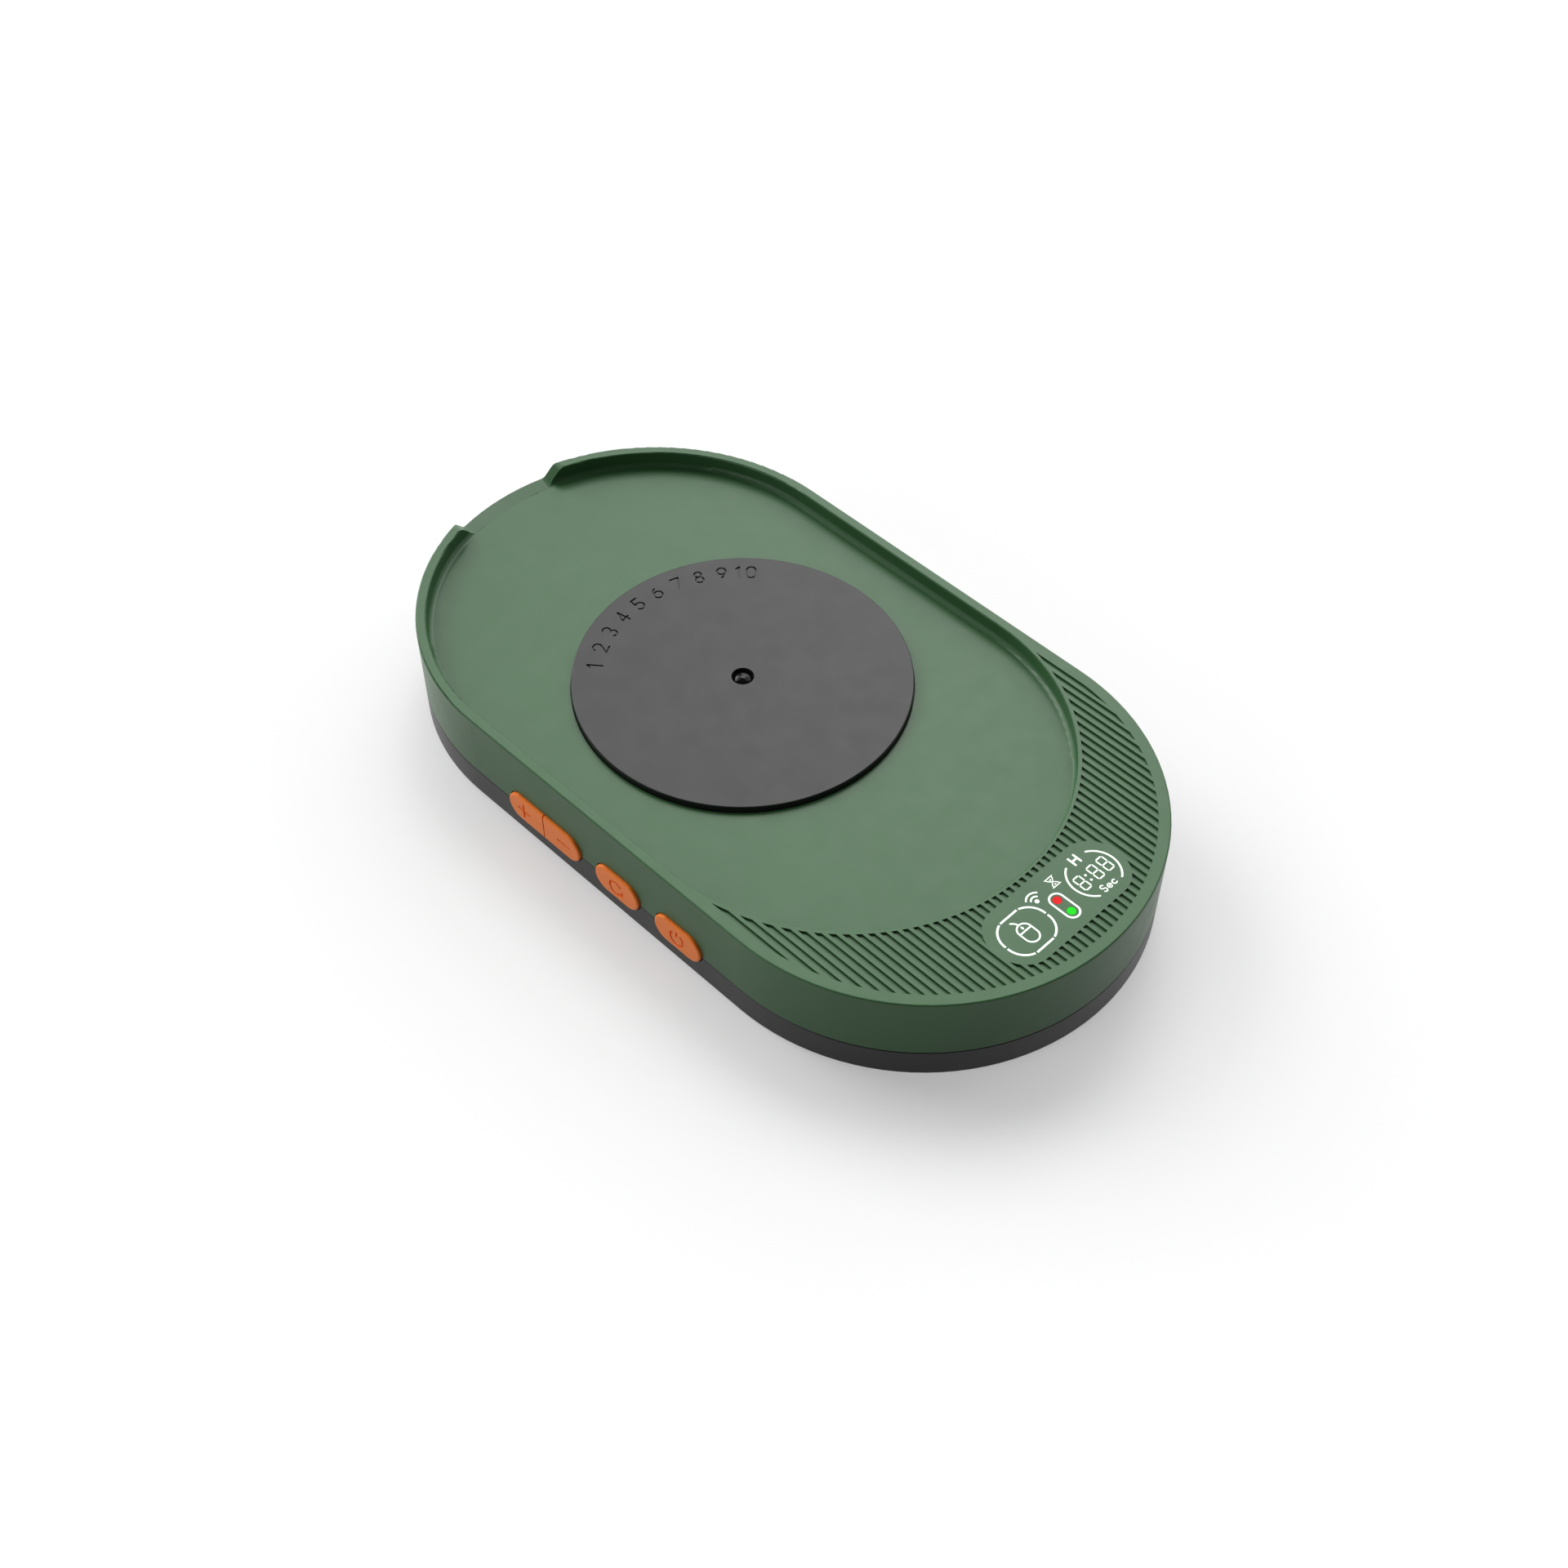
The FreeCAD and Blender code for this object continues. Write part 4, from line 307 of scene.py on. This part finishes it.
MATERIALS = {
    "shell_green": lambda name: moulded(name, SHELL_GREEN, SATIN, SATIN_LEVEL),
    "base_dark": lambda name: moulded(name, BASE_DARK, SATIN, BASE_LEVEL),
    "disc_dark": lambda name: moulded(name, DISC_DARK, SATIN, SATIN_LEVEL),
    "key_orange": lambda name: moulded(name, KEY_ORANGE, SATIN, SATIN_LEVEL),
    "foot_rubber": lambda name: moulded(name, (0.02, 0.02, 0.02), 0.7, 0.3, 0.15, 0.3, 8),
    "screw_steel": lambda name: metal(name, (0.55, 0.55, 0.56), 0.3, "Z"),
    "screw_black": lambda name: moulded(name, (0.004, 0.004, 0.004), 0.1, 0.16),
    "axle_steel": lambda name: metal(name, (0.60, 0.60, 0.61), 0.2, "Z"),
    "gear_nylon": lambda name: moulded(name, (0.80, 0.80, 0.76), 0.4, 0.4),
    "bush_bronze": lambda name: metal(name, (0.60, 0.42, 0.20), 0.35, None, 4.0, 0.2),
    "pinion_brass": lambda name: metal(name, (0.75, 0.58, 0.25), 0.22, "Z"),
    "motor_steel": lambda name: metal(name, (0.58, 0.58, 0.60), 0.28, "Z"),
    "motor_copper": lambda name: metal(name, (0.70, 0.33, 0.18), 0.3, "Z", 12.0),
    "magnet_dark": lambda name: moulded(name, (0.09, 0.09, 0.10), 0.5, 0.6, 0.2, 0.3, 4),
    "board_green": lambda name: moulded(name, (0.02, 0.18, 0.08), 0.25, 0.5, 0.2),
    "chip_black": lambda name: moulded(name, (0.03, 0.03, 0.03), 0.45, 0.5, 0.1, 0.1, 3),
    "connector_white": lambda name: moulded(name, (0.80, 0.79, 0.73), 0.35, 0.5),
    "socket_steel": lambda name: metal(name, (0.70, 0.70, 0.72), 0.18),
    "battery_foil": lambda name: metal(name, (0.72, 0.73, 0.75), 0.35, None, 12.0),
    "led_white": lambda name: moulded(name, (0.90, 0.90, 0.85), 0.2, 0.5),
    "shroud_black": lambda name: moulded(name, (0.02, 0.02, 0.02), 0.5, 0.3),
    "lens_red": lambda name: lit_lens(name, LAMP_RED_TONE),
    "lens_green": lambda name: lit_lens(name, LAMP_GREEN_TONE),
    "switch_black": lambda name: moulded(name, (0.04, 0.04, 0.04), 0.5, 0.4),
    "wire_pvc": lambda name: moulded(name, (0.45, 0.04, 0.03), 0.45, 0.5),
    "ribbon_film": lambda name: moulded(name, (0.75, 0.74, 0.70), 0.3, 0.5),
}


def dress_nodes():
    """Gives each CAD node the material of its slot."""
    made = {slot: make(slot) for slot, make in MATERIALS.items()}
    for part in frame["record"]["subparts"]:
        node = nodes[part["node"]]
        node.data.materials.clear()
        node.data.materials.append(made[part["material_slot"]])


# --- flat drawing on the deck ---------------------------------------------------------------

def middle(node):
    low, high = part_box(node)
    return (low + high) / 2


LAMP_RED = middle("red_lamp_lens")
LAMP_GREEN = middle("green_lamp_lens")
LAMPS_BELOW = 1.325                         # the lamps' middle ahead of the display's, mm
DECK_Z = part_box("red_lamp_lens")[1].z
PANEL_Y = (LAMP_RED.y + LAMP_GREEN.y) / 2 + LAMPS_BELOW * MM

ICON_T = 0.03                               # height of the display's inlays, mm
ICON_SINK = 0.015                           # how far they sit in the deck
CAP_STEPS = 6                               # facets of a stroke's round end
DOT_STEPS = 24
TURN = 2 * math.pi


def arc(x, y, radius, start_deg, sweep_deg, steps=24):
    points = []
    for step in range(steps + 1):
        angle = math.radians(start_deg + sweep_deg * step / steps)
        points.append((x + radius * math.cos(angle), y + radius * math.sin(angle)))
    return points


def arc_through(a, b, c, steps=24):
    """Points on the circle through three points, from a over b to c."""
    (ax, ay), (bx, by), (cx, cy) = a, b, c
    d = 2 * (ax * (by - cy) + bx * (cy - ay) + cx * (ay - by))
    a2, b2, c2 = ax * ax + ay * ay, bx * bx + by * by, cx * cx + cy * cy
    x = (a2 * (by - cy) + b2 * (cy - ay) + c2 * (ay - by)) / d
    y = (a2 * (cx - bx) + b2 * (ax - cx) + c2 * (bx - ax)) / d
    start = math.atan2(ay - y, ax - x)
    sweep = (math.atan2(cy - y, cx - x) - start) % TURN
    if (math.atan2(by - y, bx - x) - start) % TURN > sweep:
        sweep -= TURN
    return arc(x, y, math.hypot(ax - x, ay - y), math.degrees(start), math.degrees(sweep), steps)


def pill_outline(x, low, high, half_width):
    """Closed outline with round ends, from y = low to y = high about x."""
    top = arc(x, high - half_width, half_width, 0, 180)
    return top + arc(x, low + half_width, half_width, 180, 180)


def moved(points, x, y, side=1, up=1):
    """Points carried to x, y, and mirrored where side or up is -1."""
    return [(x + side * px, y + up * py) for px, py in points]


class Inlay:
    """Flat strokes and fields on the deck, drawn in mm from the display's middle."""

    def __init__(self, name, material, slot):
        self.name = name
        self.material = material
        self.slot = slot
        self.mesh = bmesh.new()

    def vertex(self, x, y):
        top = DECK_Z + (ICON_T - ICON_SINK) * MM
        return self.mesh.verts.new((x * MM, PANEL_Y + y * MM, top))

    def field(self, outline):
        self.mesh.faces.new([self.vertex(x, y) for x, y in outline])

    def dot(self, x, y, radius):
        self.field(arc(x, y, radius, 0, 360 - 360 / DOT_STEPS, DOT_STEPS - 1))

    def stroke(self, points, width, closed=False, round_ends=True):
        """Band along points, open with round or flat ends, or closed."""
        count = len(points)
        half = width / 2
        sides = []
        for i, (x, y) in enumerate(points):
            before = points[i - 1] if i or closed else points[0]
            after = points[(i + 1) % count] if i < count - 1 or closed else points[-1]
            first = Vector((x - before[0], y - before[1]))
            second = Vector((after[0] - x, after[1] - y))
            first = first.normalized() if first.length else second.normalized()
            second = second.normalized() if second.length else first
            along = (first + second).normalized()
            reach = half / max(along.dot(first), 0.5)
            sides.append((self.vertex(x - along.y * reach, y + along.x * reach),
                          self.vertex(x + along.y * reach, y - along.x * reach)))
        for i in range(count if closed else count - 1):
            (a, b), (c, d) = sides[i], sides[(i + 1) % count]
            self.mesh.faces.new((a, b, d, c))
        if round_ends and not closed:
            self.cap(points[0], points[1], half, sides[0])
            self.cap(points[-1], points[-2], half, sides[-1][::-1])

    def cap(self, end, inner, half, side):
        """Half disc beyond the end of a stroke; side is the end's left and right corner."""
        back = math.atan2(end[1] - inner[1], end[0] - inner[0])
        fan = [side[1]]
        for step in range(1, CAP_STEPS):
            angle = back + math.pi / 2 - math.pi * step / CAP_STEPS
            x = end[0] + half * math.cos(angle)
            y = end[1] + half * math.sin(angle)
            fan.append(self.vertex(x, y))
        fan.append(side[0])
        self.mesh.faces.new(fan)

    def finish(self):
        """Thickens the drawing and makes it a piece on the casing."""
        made = bmesh.ops.extrude_face_region(self.mesh, geom=self.mesh.faces[:])
        lower = [v for v in made["geom"] if isinstance(v, bmesh.types.BMVert)]
        bmesh.ops.translate(self.mesh, verts=lower, vec=(0, 0, -ICON_T * MM))
        bmesh.ops.recalc_face_normals(self.mesh, faces=self.mesh.faces)
        mesh = bpy.data.meshes.new(self.name)
        self.mesh.to_mesh(mesh)
        self.mesh.free()
        mesh.materials.append(self.material)
        piece = bpy.data.objects.new(self.name, mesh)
        bpy.context.scene.collection.objects.link(piece)
        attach(piece, "casing")


# --- display: places and widths in mm from its middle ---------------------------------------

RING_X = -8.255
RING_Y = -0.415
RING_W = 0.38
RING_BAR = [(-2.02, 4.03), (2.02, 4.03)]
RING_ARC = [(4.965, 0.2), (4.115, 2.77), (2.38, 3.94)]

MOUSE_X = -8.333
MOUSE_HALF_W = 1.37
MOUSE_TOP = 1.275
MOUSE_BOTTOM = -2.885
MOUSE_W = 0.31
KEY_LINE = [(-1.2, -0.215), (1.2, -0.215)]
WHEEL_Y = 0.508
WHEEL_HALF_W = 0.2
WHEEL_HALF_H = 0.36
MOUSE_CORD = [(-0.02, 1.275), (-0.3, 1.95), (-0.804, 2.449)]
CORD_STEPS = 10

LINK_X = -2.44
LINK_Y = 2.42
LINK_DOT_R = 0.41
LINK_W = 0.32
LINK_ARCS = ((1.02, 96), (1.84, 93.4))      # radius and sweep in degrees

GLASS_X = 2.5
GLASS_Y = 3.3
GLASS_BAR = [(-0.9, 1.0), (0.9, 1.0)]
GLASS_BAR_W = 0.2
GLASS_SIDE = [(0.68, 1.0), (0.64, 0.62), (0.1, 0.04)]
GLASS_SIDE_W = 0.18
SAND_ABOVE = [(-0.3, 0.6), (0, 0.3), (0.3, 0.6)]
SAND_BELOW = [(-0.28, -0.72), (0.28, -0.72), (0, -0.45)]

FRAME_X = 0.147
FRAME_HALF_W = 1.34
FRAME_TOP = 1.605
FRAME_BOTTOM = -4.315
FRAME_W = 0.36

TIMER_X = 8.794
TIMER_Y = -0.295
BRACKET_W = 0.35
LEFT_BRACKET = [(-2.54, 3.82), (-4.88, 0), (-2.93, -3.88)]
RIGHT_BRACKET = [(2.56, 3.87), (4.88, 0), (2.85, -3.87)]

FIGURES_X = (5.823, 9.235, 11.735)
FIGURES_Y = -0.365
FIGURE_HALF_W = 0.735
FIGURE_HALF_H = 1.5
FIGURE_W = 0.28
LEVEL_BAR = 0.5                             # half length of a figure's level parts
UPRIGHT_BAR = [(FIGURE_HALF_W, 0.24), (FIGURE_HALF_W, 1.26)]
COLON_X = 7.47
COLON_Y = (0.31, -0.98)
COLON_R = 0.24

HOURS_X = (8.0, 9.333)
HOURS_TOP = 4.58
HOURS_BOTTOM = 2.86
HOURS_W = 0.4
LETTER_BASE = -4.36
LETTER_STEPS = 14
S_X = 7.51
S_R = 0.36
S_LOW = 0.36                                # middles of its two bows above the base
S_HIGH = 1.08
S_SWEEP_DEG = 245
S_W = 0.24
SMALL_R = 0.42                              # bow of e and c
SMALL_Y = 0.45
SMALL_STEPS = 16
E_X = 8.74
E_W = 0.22
E_BAR = [(-0.36, 0.45), (0.38, 0.45)]
C_X = 9.95
C_W = 0.25


def draw_ring(material):
    """Ring of six parts round the mouse symbol: two bars and four arcs."""
    ring = Inlay("display_ring", material, "led_white")
    for up in (-1, 1):
        ring.stroke(moved(RING_BAR, RING_X, RING_Y, 1, up), RING_W, round_ends=False)
        for side in (-1, 1):
            ends = moved(RING_ARC, RING_X, RING_Y, side, up)
            ring.stroke(arc_through(*ends), RING_W, round_ends=False)
    ring.finish()


def draw_mouse(material):
    """Symbol of a wired mouse."""
    mouse = Inlay("display_mouse_symbol", material, "led_white")
    outline = pill_outline(MOUSE_X, MOUSE_BOTTOM, MOUSE_TOP, MOUSE_HALF_W)
    mouse.stroke(outline, MOUSE_W, closed=True)
    mouse.stroke(moved(KEY_LINE, MOUSE_X, 0), MOUSE_W)
    wheel = []
    for step in range(DOT_STEPS):
        angle = TURN * step / DOT_STEPS
        wheel.append((WHEEL_HALF_W * math.cos(angle), WHEEL_HALF_H * math.sin(angle)))
    mouse.field(moved(wheel, MOUSE_X, WHEEL_Y))
    mouse.stroke(arc_through(*moved(MOUSE_CORD, MOUSE_X, 0), CORD_STEPS), MOUSE_W)
    mouse.finish()


def draw_link(material):
    """Symbol of a wireless link: a dot under two arcs."""
    link = Inlay("display_link_symbol", material, "led_white")
    link.dot(LINK_X, LINK_Y, LINK_DOT_R)
    for radius, sweep in LINK_ARCS:
        link.stroke(arc(LINK_X, LINK_Y, radius, 90 - sweep / 2, sweep), LINK_W)
    link.finish()


def draw_hourglass(material):
    """Symbol of a sand timer: two bulbs between two bars, with sand in each."""
    glass = Inlay("display_timer_symbol", material, "led_white")
    for up in (-1, 1):
        glass.stroke(moved(GLASS_BAR, GLASS_X, GLASS_Y, 1, up), GLASS_BAR_W)
        for side in (-1, 1):
            glass.stroke(moved(GLASS_SIDE, GLASS_X, GLASS_Y, side, up), GLASS_SIDE_W)
    glass.field(moved(SAND_ABOVE, GLASS_X, GLASS_Y))
    glass.field(moved(SAND_BELOW, GLASS_X, GLASS_Y))
    glass.finish()


def draw_lamp_frame(material):
    """Upright pill round the two lamps."""
    pill = Inlay("display_lamp_frame", material, "led_white")
    outline = pill_outline(FRAME_X, FRAME_BOTTOM, FRAME_TOP, FRAME_HALF_W)
    pill.stroke(outline, FRAME_W, closed=True)
    pill.finish()


def draw_brackets(material):
    """Round brackets at the figures' left and right."""
    brackets = Inlay("display_brackets", material, "led_white")
    for bracket in (LEFT_BRACKET, RIGHT_BRACKET):
        brackets.stroke(arc_through(*moved(bracket, TIMER_X, TIMER_Y)), BRACKET_W)
    brackets.finish()


def draw_digits(material):
    """8:88 in seven-part figures, all parts lit."""
    digits = Inlay("display_digits", material, "led_white")
    for x in FIGURES_X:
        for level in (-1, 0, 1):
            bar = [(-LEVEL_BAR, level * FIGURE_HALF_H), (LEVEL_BAR, level * FIGURE_HALF_H)]
            digits.stroke(moved(bar, x, FIGURES_Y), FIGURE_W)
        for side in (-1, 1):
            for up in (-1, 1):
                digits.stroke(moved(UPRIGHT_BAR, x, FIGURES_Y, side, up), FIGURE_W)
    for y in COLON_Y:
        digits.dot(COLON_X, y, COLON_R)
    digits.finish()


def draw_units(material):
    """H over the figures and Sec under them."""
    units = Inlay("display_units", material, "led_white")
    for x in HOURS_X:
        units.stroke([(x, HOURS_TOP), (x, HOURS_BOTTOM)], HOURS_W)
    level = (HOURS_TOP + HOURS_BOTTOM) / 2
    units.stroke([(x, level) for x in HOURS_X], HOURS_W)
    low = arc(S_X, LETTER_BASE + S_LOW, S_R, 205, S_SWEEP_DEG, LETTER_STEPS)
    high = arc(S_X, LETTER_BASE + S_HIGH, S_R, 270, -S_SWEEP_DEG, LETTER_STEPS)
    units.stroke(low + high, S_W)
    bow = arc(E_X, LETTER_BASE + SMALL_Y, SMALL_R, 12, 300, SMALL_STEPS)
    units.stroke(moved(E_BAR, E_X, LETTER_BASE) + bow, E_W)
    units.stroke(arc(C_X, LETTER_BASE + SMALL_Y, SMALL_R, 48, 264, SMALL_STEPS), C_W)
    units.finish()


def draw_display():
    white = inlay_white()
    for draw in (draw_ring, draw_mouse, draw_link, draw_hourglass, draw_lamp_frame,
                 draw_brackets, draw_digits, draw_units):
        draw(white)


# --- scene ----------------------------------------------------------------------------------

bpy.context.scene.view_settings.view_transform = "Standard"
make_camera()
make_world()
make_floor()
for sun_name, (toward, spread, strength) in SUNS.items():
    make_sun(sun_name, toward, spread, strength)
dress_nodes()
draw_display()
